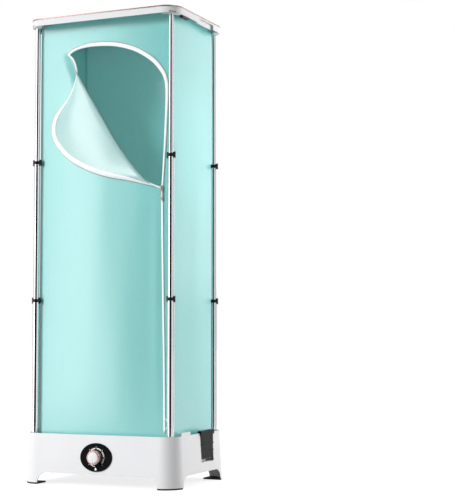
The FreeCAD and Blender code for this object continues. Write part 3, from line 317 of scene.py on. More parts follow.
class Look:
    """A node material with one shader and helpers for its textures."""

    def __init__(self, name, color, roughness, **sockets):
        self.material = bpy.data.materials.new(name)
        self.material.use_nodes = True
        self.tree = self.material.node_tree
        self.shader = self.tree.nodes["Principled BSDF"]
        self.color = color
        self.shader.inputs["Base Color"].default_value = (*color, 1)
        self.shader.inputs["Roughness"].default_value = roughness
        for socket, number in sockets.items():
            self.shader.inputs[socket.replace("_", " ")].default_value = number
        self.place = self.tree.nodes.new("ShaderNodeTexCoord")
        self.height = None

    def node(self, kind, **values):
        """A new node, with its sockets and settings given by name."""
        item = self.tree.nodes.new("ShaderNode" + kind)
        for name, number in values.items():
            if name in item.inputs:
                item.inputs[name].default_value = number
            else:
                setattr(item, name, number)
        return item

    def link(self, start, end):
        self.tree.links.new(start, end)

    def noise(self, scale, detail, stretch=(1, 1, 1), source="Object"):
        """A grain in the piece's own coordinates."""
        mapping = self.node("Mapping")
        mapping.inputs["Scale"].default_value = stretch
        self.link(self.place.outputs[source], mapping.inputs["Vector"])
        grain = self.node("TexNoise", Scale=scale, Detail=detail)
        self.link(mapping.outputs["Vector"], grain.inputs["Vector"])
        return grain.outputs["Fac"]

    def tint(self, factor, dark, light):
        """Vary the colour between two strengths of it."""
        ramp = self.node("ValToRGB")
        for element, strength, place in zip(ramp.color_ramp.elements, (dark, light), NOISE_RANGE):
            element.position = place
            element.color = (*[channel * strength for channel in self.color], 1)
        self.link(factor, ramp.inputs["Fac"])
        self.link(ramp.outputs["Color"], self.shader.inputs["Base Color"])

    def rough(self, factor, low, high):
        """Vary the roughness between two values."""
        ranged = self.node("MapRange")
        for socket, number in zip(("From Min", "From Max", "To Min", "To Max"), (*NOISE_RANGE, low, high)):
            ranged.inputs[socket].default_value = number
        self.link(factor, ranged.inputs["Value"])
        self.link(ranged.outputs["Result"], self.shader.inputs["Roughness"])

    def bump(self, factor, distance, strength):
        """Add relief to what is there already."""
        relief = self.node("Bump", Strength=strength, Distance=distance)
        self.link(factor, relief.inputs["Height"])
        if self.height:
            self.link(self.height, relief.inputs["Normal"])
        self.height = relief.outputs["Normal"]
        self.link(self.height, self.shader.inputs["Normal"])

    def soft_edges(self, radius):
        """Shade the edges as rounded."""
        edge = self.node("Bevel", Radius=radius, samples=4)
        self.height = edge.outputs["Normal"]
        self.link(self.height, self.shader.inputs["Normal"])

    def wave(self, period, direction):
        """A run of ridges across the cloth's own coordinates."""
        scale = math.tau / (WAVE_TURN * period)
        ridges = self.node("TexWave", Scale=scale, bands_direction=direction)
        self.link(self.place.outputs["UV"], ridges.inputs["Vector"])
        return ridges.outputs["Fac"]

    def mix(self, first, second, operation):
        """One factor from two."""
        joined = self.node("Math", operation=operation)
        self.link(first, joined.inputs[0])
        self.link(second, joined.inputs[1])
        return joined.outputs["Value"]


def moulded(name, color, low, high, edge=0.0008, **sockets):
    """Moulded plastic with softened edges, a fine texture and roughness between low and high."""
    look = Look(name, color, (low + high) / 2, **sockets)
    look.soft_edges(edge)
    look.tint(look.noise(scale=9, detail=4), dark=0.975, light=1.0)
    look.rough(look.noise(scale=38, detail=5), low, high)
    look.bump(look.noise(scale=1600, detail=2), distance=0.00002, strength=0.15)
    return look.material


def metal(name, color, low, high, stretch=(1, 1, 1)):
    """Metal with a grain drawn out as stretch says, and roughness between low and high."""
    look = Look(name, color, (low + high) / 2, Metallic=1.0)
    look.tint(look.noise(scale=20, detail=4, stretch=stretch), dark=0.94, light=1.0)
    look.rough(look.noise(scale=240, detail=4, stretch=stretch), low, high)
    look.bump(look.noise(scale=900, detail=2, stretch=stretch), distance=0.00002, strength=0.2)
    return look.material


def woven(name, color, period, **sockets):
    """Plain weave with the given thread period, drawn threads and faint slack."""
    look = Look(name, color, 0.5, **sockets)
    streaks = look.noise(scale=1.0, detail=4, stretch=(70, 4, 1), source="UV")
    patches = look.noise(scale=5, detail=3)
    look.tint(look.mix(streaks, patches, "MULTIPLY"), dark=1.04, light=0.97)
    look.rough(look.noise(scale=60, detail=4), low=0.42, high=0.54)
    threads = look.mix(look.wave(period, "X"), look.wave(period, "Y"), "MAXIMUM")
    look.bump(threads, distance=0.00004, strength=0.40)
    look.bump(look.noise(scale=7, detail=2), distance=0.004, strength=0.35)
    return look.material


def rubber(name, color):
    """Matt rubber with a fine grain."""
    look = Look(name, color, 0.75)
    look.tint(look.noise(scale=60, detail=4), dark=0.8, light=1.25)
    look.rough(look.noise(scale=130, detail=4), low=0.62, high=0.82)
    look.bump(look.noise(scale=700, detail=3), distance=0.00012, strength=0.5)
    return look.material


def ink(name, color):
    """Printed ink of uneven strength."""
    look = Look(name, color, 0.5)
    look.tint(look.noise(scale=400, detail=3), dark=0.9, light=1.0)
    look.rough(look.noise(scale=300, detail=3), low=0.42, high=0.56)
    return look.material


WHITE = moulded("white_moulding", (0.79, 0.79, 0.80), 0.38, 0.48)
BLACK = moulded("black_moulding", (0.008, 0.008, 0.009), 0.24, 0.34, 0.0006, Specular_IOR_Level=0.3)
SATIN = moulded("satin_black", (0.006, 0.006, 0.007), 0.42, 0.54, 0.0005, Specular_IOR_Level=0.03)
LEVER = moulded("latch_plastic", (0.012, 0.012, 0.013), 0.30, 0.40, 0.0006, Specular_IOR_Level=0.06)
DARK = moulded("dark_moulding", (0.03, 0.03, 0.032), 0.32, 0.45, 0.0006)
GREY = moulded("grey_moulding", (0.16, 0.16, 0.165), 0.40, 0.52)
MILKY = moulded("milky_lens", (0.86, 0.86, 0.85), 0.10, 0.18, 0.0003, Coat_Weight=0.6)
CHROME = metal("chrome_tube", (0.86, 0.86, 0.88), 0.045, 0.095, (1, 1, 0.06))
ROSE = metal("rose_gold", (0.46, 0.31, 0.29), 0.24, 0.36)
STEEL = metal("plain_steel", (0.55, 0.55, 0.56), 0.26, 0.40, (1, 0.1, 1))
FINS = metal("bright_fins", (0.74, 0.74, 0.75), 0.22, 0.36, (0.1, 1, 1))
MOTOR = moulded("motor_paint", (0.035, 0.035, 0.04), 0.38, 0.50)
PAD = rubber("rubber_pad", (0.014, 0.014, 0.014))
COIL = moulded("zip_coil", (0.40, 0.37, 0.35), 0.30, 0.42, 0.0002)
PRINT = ink("printed_mark", (0.78, 0.78, 0.78))

# Cloth: thin enough to let light through, with a glossy coating; the bindings are dull
THIN = {"Subsurface_Weight": 0.7, "Subsurface_Scale": 0.004, "Subsurface_Radius": (1.0, 1.0, 1.0)}
GLAZE = {"Coat_Weight": 1.0, "Coat_IOR": 1.9, "Specular_IOR_Level": 0.1}
TEAL = woven("teal_cloth", (0.230, 0.640, 0.612), 0.0011, Coat_Roughness=0.25, **GLAZE, **THIN)
# Lining: the paler inner face of the cloth, lightened further as painted light so the turned-out corner stays
# bright where it faces away from the lamps
LINING_WITH_PAINTED_LIGHT = woven("pale_lining_with_painted_light", (0.410, 0.715, 0.685), 0.0011, Coat_Roughness=0.22, **GLAZE, **THIN)
BINDING = woven("white_binding", (0.88, 0.91, 0.91), 0.0009, Sheen_Weight=0.3, Sheen_Roughness=0.4)

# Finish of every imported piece, by the start of its name
FINISHES = {
    WHITE: ("base_shell", "base_deck", "bottom_cover", "outlet_grille", "latch_housing",
            "lid_band", "lid_dome", "lid_liner", "lid_sockets", "lid_catches", "rail_brackets"),
    BLACK: ("lower_collar", "upper_collar"),
    SATIN: ("dial_panel",),
    LEVER: ("latch_left", "latch_right"),
    # The locating receivers are dark as painted shade: their colour stands in for the shadow in their slots
    DARK: ("pole_sockets", "mains_gland", "thermal_cutout", "locating_receivers"),
    GREY: ("timer_unit", "fan_wheel", "fan_housing"),
    ROSE: ("timer_knob", "knob_ring", "trim_ring"),
    MILKY: ("indicator_lens",),
    CHROME: ("lower_pole", "middle_pole", "upper_pole", "hanging_rail"),
    STEEL: ("timer_shaft", "heater_plate", "latch_pin"),
    FINS: ("heater_fins",),
    MOTOR: ("fan_motor",),
    PAD: ("rubber_feet",),
    TEAL: ("cover_front", "cover_sides", "door_flap"),
    BINDING: ("door_zipper", "zipper_slider"),
}


def dress_nodes():
    """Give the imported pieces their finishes, and keep the tubes out of the cloth's gloss."""
    for finish, starts in FINISHES.items():
        for name, item in NODES.items():
            if name.startswith(starts):
                item.data.materials.clear()
                item.data.materials.append(finish)
                item.visible_glossy = finish != CHROME


# Meshes

def add_object(name, data):
    """A new object in the scene."""
    item = bpy.data.objects.new(name, data)
    bpy.context.scene.collection.objects.link(item)
    return item


def add_piece(name, points, faces, material, uv=None, body="base", shade=True):
    """A piece from points and faces, smooth unless told otherwise, that moves with a body."""
    mesh = bpy.data.meshes.new(name)
    mesh.from_pydata([tuple(p) for p in points], [], faces)
    mesh.materials.append(material)
    mesh.validate()
    mesh.update()
    if uv:
        layer = mesh.uv_layers.new(name="cloth")
        for loop in mesh.loops:
            layer.data[loop.index].uv = uv[loop.vertex_index]
    mesh.polygons.foreach_set("use_smooth", [shade] * len(mesh.polygons))
    item = add_object(name, mesh)
    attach(item, body)
    return item


def add_solid(name, mesh, material, shade):
    """An object from a finished edit mesh."""
    data = bpy.data.meshes.new(name)
    mesh.to_mesh(data)
    mesh.free()
    data.materials.append(material)
    data.polygons.foreach_set("use_smooth", [shade] * len(data.polygons))
    return add_object(name, data)


def grid_faces(rows, columns, closed=False):
    """Faces of a net of points given row by row; a closed one joins its last column to its first."""
    faces = []
    for row in range(rows - 1):
        for column in range(columns if closed else columns - 1):
            after = (column + 1) % columns
            faces.append((row * columns + column, row * columns + after,
                          (row + 1) * columns + after, (row + 1) * columns + column))
    return faces


def block(mesh, centre, size, bevel):
    """Add a box with rounded edges to a mesh."""
    made = bmesh.ops.create_cube(mesh, size=1.0)
    bmesh.ops.scale(mesh, vec=size, verts=made["verts"])
    bmesh.ops.translate(mesh, vec=centre, verts=made["verts"])
    edges = list({edge for vert in made["verts"] for edge in vert.link_edges})
    bmesh.ops.bevel(mesh, geom=edges, offset=bevel, segments=3, profile=0.6, affect="EDGES")


def thicken(item):
    """Give a sheet the cloth's thickness, with crisp borders."""
    faces_at = Counter(key for face in item.data.polygons for key in face.edge_keys)
    for edge in item.data.edges:
        edge.use_edge_sharp = faces_at[edge.key] == 1
    skin = item.modifiers.new("thickness", "SOLIDIFY")
    skin.thickness = CLOTH
    skin.offset = 0
    return item


# Form of the cover

def around(run):
    """Point and outward direction on the cover's plan, a run to the right of the front's middle."""
    sign = 1 if run >= 0 else -1
    run = abs(run)
    if run <= STRAIGHT:
        spot, out = (run, -HALF_Y), (0, -1)
    elif run <= FRONT_REACH:
        turn = (run - STRAIGHT) / CORNER
        out = (math.sin(turn), -math.cos(turn))
        spot = (STRAIGHT + CORNER * out[0], CORNER - HALF_Y + CORNER * out[1])
    elif run <= FRONT_REACH + SIDE:
        spot, out = (HALF_X, run - FRONT_REACH + CORNER - HALF_Y), (1, 0)
    elif run <= FRONT_REACH + SIDE + ARC:
        turn = (run - FRONT_REACH - SIDE) / CORNER
        out = (math.cos(turn), math.sin(turn))
        spot = (STRAIGHT + CORNER * out[0], HALF_Y - CORNER + CORNER * out[1])
    else:
        spot, out = (STRAIGHT - (run - FRONT_REACH - SIDE - ARC), HALF_Y), (0, 1)
    return Vector((sign * spot[0], spot[1], 0)), Vector((sign * out[0], out[1], 0))


def swell(share):
    """Slack across a panel: none at its edges, where the share is 1."""
    return max(0.0, 1 - share * share)


def slack(z):
    """Slack up the cover: none at its hems."""
    height = (z - COVER_LOW) / COVER_HEIGHT
    return math.sin(math.pi * min(max(height, 0), 1)) ** HEM_POWER


def soft_folds(folds, across, up):
    """Height of long soft folds at a place on the cloth."""
    return sum(depth * math.sin(a * across + b * up) for depth, a, b in folds)


def tip_curl(x, z):
    """How far the cloth turns in beside the top of the open door, and the crease that runs from there."""
    beside = max(0, TIP_X + TIP_SLANT * (TIP_Z - z) - x)
    turned = TIP_DEPTH * max(0, 1 - beside / TIP_REACH) ** 2
    turned *= ease(z, *TIP_LOWER_FADE) * ease(z, *TIP_UPPER_FADE) * ease(x, *TIP_RIGHT_FADE)
    way = Vector((x, z)) - CREASE_START
    along = way.dot(CREASE_RUN)
    off = way.dot(CREASE_OFF)
    crease = CREASE_DEPTH * math.exp(-(off / CREASE_WIDTH) ** 2)
    crease *= ease(along, *CREASE_RISE) * ease(along, *CREASE_FADE)
    return turned + crease


def front_lift(x, z):
    """How far the front cloth stands out: a slack bulge, long soft folds and a pleat beside the zip."""
    bulge = swell(x / STRAIGHT) * (FRONT_BULGE + soft_folds(FRONT_FOLDS, x, z))
    pleat = PLEAT_DEPTH * math.exp(-((x - PLEAT_X) / PLEAT_WIDTH) ** 2)
    pleat *= min(1, max(0, (PLEAT_TOP - z) / PLEAT_FADE))
    return slack(z) * (bulge + pleat) - tip_curl(x, z)


def on_front(x, z, lift):
    """A point of the front cloth, lifted off it."""
    return Vector((x, -HALF_Y - front_lift(x, z) - lift, z))


def side_lift(run, z):
    """Slack of the right, back and left cloth between the corners."""
    spot, out = around(run)
    share = spot.y / (HALF_Y - CORNER) if abs(out.x) > 0.5 else spot.x / STRAIGHT
    return slack(z) * swell(min(1, abs(share))) * (SIDE_BULGE + soft_folds(SIDE_FOLDS, run, z))


# Sheets of the cover

def make_front():
    """The front panel with its door opening, cut to a fine net of triangles."""
    opening = smooth(DOOR_EDGE, EDGE_CUTS)[:-1] + smooth(FOLD, FOLD_CUTS)[:-1]
    spots = []
    edges = []

    def add_loop(loop):
        first = len(spots)
        spots.extend(loop)
        edges.extend((first + i, first + (i + 1) % len(loop)) for i in range(len(loop)))

    columns = [STRAIGHT * i / HALF_COLUMNS for i in range(-HALF_COLUMNS, HALF_COLUMNS + 1)]
    corner = [STRAIGHT + ARC * i / CORNER_STEPS for i in range(1, CORNER_STEPS + 1)]
    columns = [-x for x in reversed(corner)] + columns + corner
    rows = [COVER_LOW + COVER_HEIGHT * i / ROWS for i in range(ROWS + 1)]
    outline = [Vector((x, rows[0])) for x in columns] + [Vector((columns[-1], z)) for z in rows[1:]]
    outline += [Vector((x, rows[-1])) for x in reversed(columns[:-1])]
    outline += [Vector((columns[0], z)) for z in reversed(rows[1:-1])]
    add_loop(outline)
    add_loop(opening)
    for z in rows[1:-1]:
        for x in columns[1:-1]:
            spot = Vector((x, z))
            if not inside(spot, opening) and min((spot - p).length for p in opening) > NET_CLEARANCE:
                spots.append(spot)
    flat, _, faces = geometry.delaunay_2d_cdt(spots, edges, [], 0, SAME_POINT)[:3]
    faces = [f for f in faces if not inside(sum((flat[i] for i in f), Vector((0, 0))) / len(f), opening)]
    points = []
    for spot in flat:
        place, out = around(spot.x)
        lift = front_lift(spot.x, spot.y) if abs(spot.x) <= STRAIGHT else 0.0
        points.append(place + out * lift + Vector((0, 0, spot.y)))
    item = add_piece("front_cloth", points, faces, TEAL, [tuple(p) for p in flat])
    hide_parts("cover_front")
    area = 2 * FRONT_REACH * COVER_HEIGHT - loop_area(opening)
    return thicken(item), area


def make_sides():
    """Right, back and left of the cover as one sheet round three sides."""
    runs = []
    stretches = (
        (SIDE, SIDE_COLUMNS), (ARC, CORNER_STEPS), (2 * STRAIGHT, BACK_COLUMNS),
        (ARC, CORNER_STEPS), (SIDE, SIDE_COLUMNS),
    )
    at = FRONT_REACH
    for length, count in stretches:
        runs += [at + length * i / count for i in range(count)]
        at += length
    runs.append(at)
    points = []
    uv = []
    for row in range(ROWS + 1):
        z = COVER_LOW + COVER_HEIGHT * row / ROWS
        for run in runs:
            signed = run if run <= ROUND / 2 else run - ROUND
            place, out = around(signed)
            points.append(place + out * side_lift(signed, z) + Vector((0, 0, z)))
            uv.append((run, z))
    item = add_piece("side_cloth", points, grid_faces(ROWS + 1, len(runs)), TEAL, uv)
    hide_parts("cover_sides")
    return thicken(item), (runs[-1] - runs[0], COVER_HEIGHT)


def flap_rows():
    """Rows of points across the turned-out corner, from its roll to its free edge."""
    rows = []
    for fold, edge in zip(smooth(FOLD, FLAP_ROWS), smooth(FREE_EDGE, FLAP_ROWS)):
        gap = edge - fold
        width = gap.length
        across = gap / width if width > SAME_POINT else Vector((-1, 0))
        roll = min(FOLD_RADIUS, FOLD_SHARE * width)
        edge_lift = FLAP_EDGE_LIFT * min(1, width / FLAP_EDGE_WIDTH)
        belly = FLAP_BELLY * min(1, width / FLAP_BELLY_WIDTH)
        base = front_lift(fold.x, fold.y)
        row = []
        for step in range(ROLL_STEPS + 1):
            turn = math.pi * step / ROLL_STEPS
            row.append((-roll * math.sin(turn), roll - roll * math.cos(turn)))
        for step in range(1, FLAP_STEPS + 1):
            share = step / FLAP_STEPS
            rise = 2 * roll * (1 - share) + edge_lift * share + belly * math.sin(math.pi * share)
            row.append((width * share, rise))
        spots = []
        for along, lift in row:
            spot = fold + across * along
            own = front_lift(spot.x, spot.y) if along > 0 else base
            spots.append(Vector((spot.x, -HALF_Y - own - FLAP_GAP - lift, spot.y)))
        rows.append(spots)
    return rows


def make_flap():
    """The door's corner, turned out to show its lining, whose colour is lightened with painted light."""
    rows = flap_rows()
    columns = len(rows[0])
    points = [p for row in rows for p in row]
    uv = [(FLAP_UV_STEP * i, FLAP_UV_STEP * j) for i in range(len(rows)) for j in range(columns)]
    item = add_piece("flap_cloth", points, grid_faces(len(rows), columns), LINING_WITH_PAINTED_LIGHT, uv)
    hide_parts("door_flap")
    area = sum(face.area for face in item.data.polygons)
    return thicken(item), area, rows


# Bindings and zip

def sideways(path, outs):
    """Directions across a band that follows a path and faces out."""
    result = []
    for i, out in enumerate(outs):
        step = path[min(i + 1, len(path) - 1)] - path[max(i - 1, 0)]
        result.append(step.cross(out).normalized())
    return result


def ahead(path):
    """Directions out of the front for every point of a path."""
    return [AHEAD] * len(path)


def edge_path(path, outs, widths, gap):
    """A path along the edge of a band, a gap away from it."""
    return [p + side * (width / 2 + gap) for p, side, width in zip(path, sideways(path, outs), widths)]


def taper(count, stops):
    """Widths along a path that pass smoothly through the given shares and widths."""
    widths = []
    for step in range(count):
        share = step / (count - 1)
        for (start, low), (end, high) in zip(stops, stops[1:]):
            if start <= share <= end:
                width = low + (high - low) * ease(share, start, end)
        widths.append(width)
    return widths


def flap_outs(rows):
    """Directions that the turned-out corner faces along its free edge."""
    outs = []
    for i, row in enumerate(rows):
        step = rows[min(i + 1, len(rows) - 1)][-1] - rows[max(i - 1, 0)][-1]
        inward = row[-1 - INWARD_STEPS] - row[-1]
        width = (row[-1] - row[ROLL_STEPS]).length
        face = step.cross(inward).normalized()
        if face.y > 0:
            face = -face
        outs.append(AHEAD.lerp(face, min(1, width / FLAP_TURN_WIDTH)).normalized())
    return outs


def tape(name, path, outs, widths, thickness):
    """A flat band with rounded edges along a path, facing out and as wide as given at each point."""
    points = []
    uv = []
    length = 0.0
    for i, (spot, side, out, width) in enumerate(zip(path, sideways(path, outs), outs, widths)):
        if i:
            length += (spot - path[i - 1]).length
        for share, lift in TAPE_SECTION:
            points.append(spot + side * (share * width) + out * (lift * thickness))
            uv.append((length, share * width))
    corners = len(TAPE_SECTION)
    faces = grid_faces(len(path), corners, True)
    faces.append(tuple(reversed(range(corners))))
    faces.append(tuple(range(len(points) - corners, len(points))))
    return add_piece(name, points, faces, BINDING, uv)


# Corners and outward faces of one tooth: a square foot and a smaller top
TOOTH_CORNERS = [
    (across * share, out, along * share)
    for out, share in ((0, 1), (1, TOOTH_TOP))
    for across, along in ((-1, -1), (1, -1), (1, 1), (-1, 1))
]
TOOTH_FACES = ((0, 1, 2, 3), (4, 7, 6, 5), (0, 4, 5, 1), (1, 5, 6, 2), (2, 6, 7, 3), (3, 7, 4, 0))


def teeth(name, path, size):
    """Small blocks set across a path, as the coil of a zip."""
    points = []
    faces = []
    length = sum((b - a).length for a, b in zip(path, path[1:]))
    spots = smooth([tuple(p) for p in path], int(length / TOOTH_PITCH))
    for spot, side in zip(spots, sideways(spots, ahead(spots))):
        up = side.cross(AHEAD).normalized()
        first = len(points)
        for across, out, along in TOOTH_CORNERS:
            foot = spot + side * (across * size[0] / 2) + up * (along * size[2] / 2)
            points.append(foot + AHEAD * (out * size[1]))
        faces += [tuple(first + corner for corner in face) for face in TOOTH_FACES]
    return add_piece(name, points, faces, COIL, shade=False)


def make_slider():
    """Zip slider with a bridge, and its pull hanging down."""
    mesh = bmesh.new()
    spot = on_front(*ZIP_LINE[0], SLIDER_LIFT)
    for place, size, edge in SLIDER_BLOCKS:
        block(mesh, spot + Vector(place), size, edge)
    for place, size in PULL_BARS:
        block(mesh, spot + PULL_PLACE + Vector(place), size, PULL_EDGE)
    item = add_solid("zip_slider", mesh, COIL, True)
    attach(item, "base")
    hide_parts("zipper_slider")
    return item


def make_cover():
    """The three sheets, their bindings and the zip, all riding on the base."""
    front, front_area = make_front()
    sides, sides_flat = make_sides()
    flap, flap_area, rows = make_flap()

    arch = [on_front(p.x, p.y, TAPE_LIFT) for p in smooth(DOOR_EDGE, ARCH_POINTS)]
    arch_widths = taper(ARCH_POINTS, ARCH_WIDTHS)
    arch_tape = tape("arch_binding", arch, ahead(arch), arch_widths, ARCH_THICKNESS)
    edge = [row[-1] for row in rows]
    edge_outs = flap_outs(rows)
    edge_widths = taper(FLAP_ROWS, FLAP_WIDTHS)
    edge_tape = tape("flap_binding", edge, edge_outs, edge_widths, FLAP_THICKNESS)
    line = [on_front(p.x, p.y, TAPE_LIFT) for p in smooth(ZIP_LINE, ZIP_POINTS)]
    line_tape = tape("zip_tape", line, ahead(line), [ZIP_WIDTH] * ZIP_POINTS, ZIP_THICKNESS)
    coil = teeth("zip_coil", [p + ZIP_COIL_OFFSET for p in line], ZIP_TOOTH)
    arch_edge = edge_path(arch, ahead(arch), arch_widths, ARCH_COIL_GAP)
    arch_coil = teeth("arch_coil", arch_edge, ARCH_TOOTH)
    flap_edge = edge_path(edge, edge_outs, edge_widths, FLAP_COIL_GAP)
    flap_coil = teeth("flap_coil", flap_edge[FLAP_COIL_ENDS:-FLAP_COIL_ENDS], FLAP_TOOTH)
    slider = make_slider()
    loop = [on_front(p.x, p.y, LOOP_LIFT) for p in smooth(FOOT_LOOP, LOOP_POINTS)]
    loop_tape = tape("foot_loop", loop, ahead(loop), [LOOP_WIDTH] * LOOP_POINTS, LOOP_THICKNESS)
    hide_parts("door_zipper")

    tapes = (arch_tape, edge_tape, line_tape, loop_tape)
    for piece in (front, sides, flap, *tapes, coil, arch_coil, flap_coil, slider):
        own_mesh(piece)


# Printed marks on the dial and the knob

def leaning_face(low, high):
    """Depth of a leaning round face at the dial's centre, from the corners of its box."""
    return low[1] + (high[2] - low[2]) / 2 * LEAN


def dial_point(angle, radius, face, lift):
    """A point on the leaning dial, lifted off its face."""
    right = math.sin(angle) * radius
    up = math.cos(angle) * radius
    return Vector((right, face + LEAN * up - lift, DIAL_HEIGHT + up))


def ring_strip(name, first, last, radius, width, face, body="base", lift=PRINT_LIFT, material=PRINT):
    """A thin arc of print about the dial's centre."""
    steps = max(4, int(abs(last - first) / STRIP_STEP))
    points = []
    for i in range(steps + 1):
        angle = first + (last - first) * i / steps
        for reach in (radius + width / 2, radius - width / 2):
            points.append(dial_point(angle, reach, face, lift))
    add_piece(name, points, grid_faces(steps + 1, 2), material, body=body)


def make_dial_marks():
    """Arcs that grow round the dial with a tick at every step."""
    face = leaning_face(*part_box("dial_panel"))
    for i in range(ARC_COUNT):
        start = DIAL_BOTTOM + DIAL_STEP * i + ARC_GAP
        width = ARC_WIDTH + ARC_GROWTH * i
        ring_strip(f"dial_arc_{i + 1}", start, start + ARC_SPAN, ARC_RADIUS, width, face)
    for i in range(TICK_COUNT):
        angle = DIAL_BOTTOM + DIAL_STEP * i
        ring_strip(f"dial_tick_{i + 1}", angle - TICK_HALF, angle + TICK_HALF, TICK_RADIUS, TICK_LENGTH, face)


def make_knob_cap():
    """White cap of the knob, and the pointer on it."""
    face = leaning_face(*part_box("timer_knob"))
    angles = [-math.tau * i / CAP_STEPS for i in range(CAP_STEPS)]
    points = [dial_point(angle, reach, face, lift) for reach, lift in CAP_RINGS for angle in angles]
    faces = grid_faces(len(CAP_RINGS), CAP_STEPS, True)
    faces.append(tuple(range(len(points) - CAP_STEPS, len(points))))
    add_piece("knob_cap", points, faces, WHITE, body="timer_knob")
    first, last = DIAL_BOTTOM - POINTER_HALF, DIAL_BOTTOM + POINTER_HALF
    ring_strip("knob_pointer", first, last, POINTER_RADIUS, POINTER_LENGTH, face,
               "timer_knob", POINTER_LIFT, ROSE)


# Small screws

def screw(name, place, body):
    """A cross-head screw that faces down."""
    mesh = bmesh.new()
    bmesh.ops.create_cone(mesh, cap_ends=True, segments=20, radius1=SCREW_RADIUS,
                          radius2=SCREW_FACE_RADIUS, depth=SCREW_HEAD)
    long, narrow, high = SCREW_CROSS
    for size in ((long, narrow, high), (narrow, long, high)):
        block(mesh, Vector((0, 0, SCREW_HEAD / 2)), size, SCREW_EDGE)
    item = add_solid(name, mesh, STEEL, False)
    turn = Vector((0, 0, 1)).rotation_difference(Vector((0, 0, -1)))
    item.matrix_world = Matrix.Translation(place) @ turn.to_matrix().to_4x4()
    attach(item, body)


def make_screws():
    """Screws that hold the bottom cover and the lid's liner."""
    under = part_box("bottom_cover")[0][2] - SCREW_DROP
    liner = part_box("lid_liner")[0][2] - SCREW_DROP
    count = 0
    for x in SCREW_X:
        for y in SCREW_Y:
            count += 1
            screw(f"cover_screw_{count}", Vector((x, y, under)), "base")
            screw(f"liner_screw_{count}", Vector((x * LINER_SPREAD_X, y * LINER_SPREAD_Y, liner)), "lid")


# Camera, light and floor

def make_camera():
    """The photograph's view."""
    yaw, pitch, roll = (math.radians(angle) for angle in CAMERA_TURN)
    view = Vector((math.sin(yaw) * math.cos(pitch), math.cos(yaw) * math.cos(pitch), math.sin(pitch)))
    level = Vector((math.cos(yaw), -math.sin(yaw), 0))
    upright = level.cross(view)
    right = math.cos(roll) * level + math.sin(roll) * upright
    up = math.cos(roll) * upright - math.sin(roll) * level
    data = bpy.data.cameras.new("camera")
    data.lens = FOCAL_LENGTH
    data.sensor_width = SENSOR_WIDTH
    data.clip_end = CLIP_END
    item = add_object("camera", data)
    turn = Matrix((right, up, -view)).transposed()
    item.matrix_world = Matrix.Translation(CAMERA_PLACE) @ turn.to_4x4()
    bpy.context.scene.camera = item


def make_lamp(name, place, aim, width, height, power, gloss=True):
    """A soft rectangular lamp that the camera doesn't see."""
    data = bpy.data.lights.new(name, "AREA")
    data.shape = "RECTANGLE"
    data.size = width
    data.size_y = height
    data.energy = power
    item = add_object(name, data)
    item.location = place
    item.rotation_euler = (Vector(aim) - Vector(place)).to_track_quat("-Z", "Y").to_euler()
    item.visible_camera = False
    item.visible_glossy = gloss


def make_lamps():
    """A narrow lamp at the front left, a broad one behind the right side and a faint rim light."""
    make_lamp("left_softbox", place=(-0.975, -1.524, 0.90), aim=(0.0, -0.1, 0.85),
              width=0.48, height=2.1, power=10)
    make_lamp("right_softbox", place=(1.90, 1.45, 1.00), aim=(0.2, 0.0, 0.65),
              width=1.0, height=1.8, power=48, gloss=False)
    make_lamp("rim_softbox", place=(1.15, 1.75, 1.40), aim=(0.25, 0.0, 1.00),
              width=1.0, height=1.5, power=2.5)


def make_key():
    """A broad even light from the front left and above, kept out of gloss."""
    data = bpy.data.lights.new("key_light", "SUN")
    data.energy = KEY_ENERGY
    data.angle = KEY_ANGLE
    item = add_object("key_light", data)
    item.rotation_euler = KEY_DIRECTION.to_track_quat("-Z", "Y").to_euler()
    item.visible_glossy = False


def seen_directly(tree):
    """A factor of 1 for what the camera sees straight or in gloss and glass."""
    path = tree.nodes.new("ShaderNodeLightPath")
    total = path.outputs["Is Camera Ray"]
    for name in ("Is Glossy Ray", "Is Transmission Ray"):
        most = tree.nodes.new("ShaderNodeMath")
        most.operation = "MAXIMUM"
        tree.links.new(total, most.inputs[0])
        tree.links.new(path.outputs[name], most.inputs[1])
        total = most.outputs["Value"]
    return total


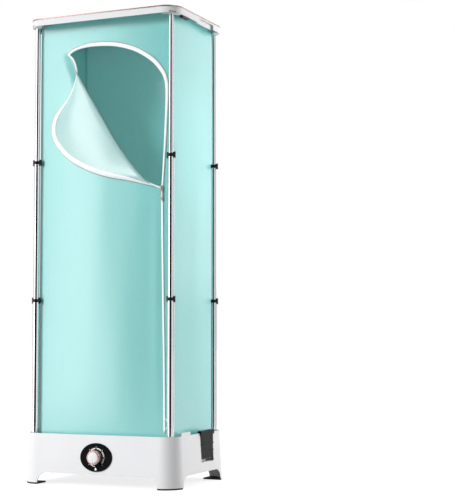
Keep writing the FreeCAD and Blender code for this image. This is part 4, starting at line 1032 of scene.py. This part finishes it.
def make_world():
    """White to the camera and in gloss; for fill, a studio of pale walls with a dark doorway in front."""
    world = bpy.data.worlds.new("studio")
    bpy.context.scene.world = world
    world.use_nodes = True
    tree = world.node_tree
    tree.nodes.clear()
    place = tree.nodes.new("ShaderNodeTexCoord")
    facing = tree.nodes.new("ShaderNodeVectorMath")
    facing.operation = "DOT_PRODUCT"
    facing.inputs[1].default_value = DOORWAY
    tree.links.new(place.outputs["Generated"], facing.inputs[0])
    walls = tree.nodes.new("ShaderNodeValToRGB")
    ramp = walls.color_ramp.elements
    for index, (at, level) in enumerate(WALL_LEVELS):
        element = ramp[index] if index < 2 else ramp.new(at)
        element.position = at
        element.color = (level, level, level, 1)
    half = tree.nodes.new("ShaderNodeMapRange")
    half.inputs["From Min"].default_value = -1
    tree.links.new(facing.outputs["Value"], half.inputs["Value"])
    tree.links.new(half.outputs["Result"], walls.inputs["Fac"])
    studio = tree.nodes.new("ShaderNodeBackground")
    tree.links.new(walls.outputs["Color"], studio.inputs["Color"])
    white = tree.nodes.new("ShaderNodeBackground")
    white.inputs["Color"].default_value = (1, 1, 1, 1)
    choose = tree.nodes.new("ShaderNodeMixShader")
    tree.links.new(seen_directly(tree), choose.inputs["Fac"])
    tree.links.new(studio.outputs["Background"], choose.inputs[1])
    tree.links.new(white.outputs["Background"], choose.inputs[2])
    output = tree.nodes.new("ShaderNodeOutputWorld")
    tree.links.new(choose.outputs["Shader"], output.inputs["Surface"])


def stage_mesh(name, points, faces, finish, level):
    """A plain matt mesh that isn't part of the object, and the nodes of its finish."""
    mesh = bpy.data.meshes.new(name)
    mesh.from_pydata(points, [], faces)
    material = bpy.data.materials.new(finish)
    material.use_nodes = True
    shader = material.node_tree.nodes["Principled BSDF"]
    shader.inputs["Base Color"].default_value = (level, level, level, 1)
    shader.inputs["Roughness"].default_value = STAGE_ROUGHNESS
    mesh.materials.append(material)
    item = add_object(name, mesh)
    return item, material.node_tree


def make_floor():
    """A pale floor that shows white to the camera and keeps the object's shadow."""
    corners = [(x * FLOOR_HALF, y * FLOOR_HALF, 0) for x, y in ((-1, -1), (1, -1), (1, 1), (-1, 1))]
    _, tree = stage_mesh("floor", corners, [(0, 1, 2, 3)], "pale_floor", FLOOR_LEVEL)
    shader = tree.nodes["Principled BSDF"]
    shader.inputs["Emission Color"].default_value = (1, 1, 1, 1)
    scaled = tree.nodes.new("ShaderNodeMath")
    scaled.operation = "MULTIPLY"
    scaled.inputs[1].default_value = FLOOR_GLOW
    tree.links.new(seen_directly(tree), scaled.inputs[0])
    tree.links.new(scaled.outputs["Value"], shader.inputs["Emission Strength"])


def make_flags():
    """Dark boards between the lamps that only gloss sees, for the dark lines in the chrome."""
    points = []
    for left, right in BOARDS:
        points += [(*left, 0), (*right, 0), (*right, BOARD_HEIGHT), (*left, BOARD_HEIGHT)]
    faces = [(i, i + 1, i + 2, i + 3) for i in range(0, len(points), 4)]
    item, _ = stage_mesh("flags", points, faces, "dark_board", BOARD_LEVEL)
    for kind in ("camera", "diffuse", "shadow", "transmission", "volume_scatter"):
        setattr(item, "visible_" + kind, False)


dress_nodes()
make_cover()
make_dial_marks()
make_knob_cap()
make_screws()
make_camera()
make_world()
make_floor()
make_lamps()
make_key()
make_flags()
bpy.context.scene.view_settings.view_transform = "Standard"
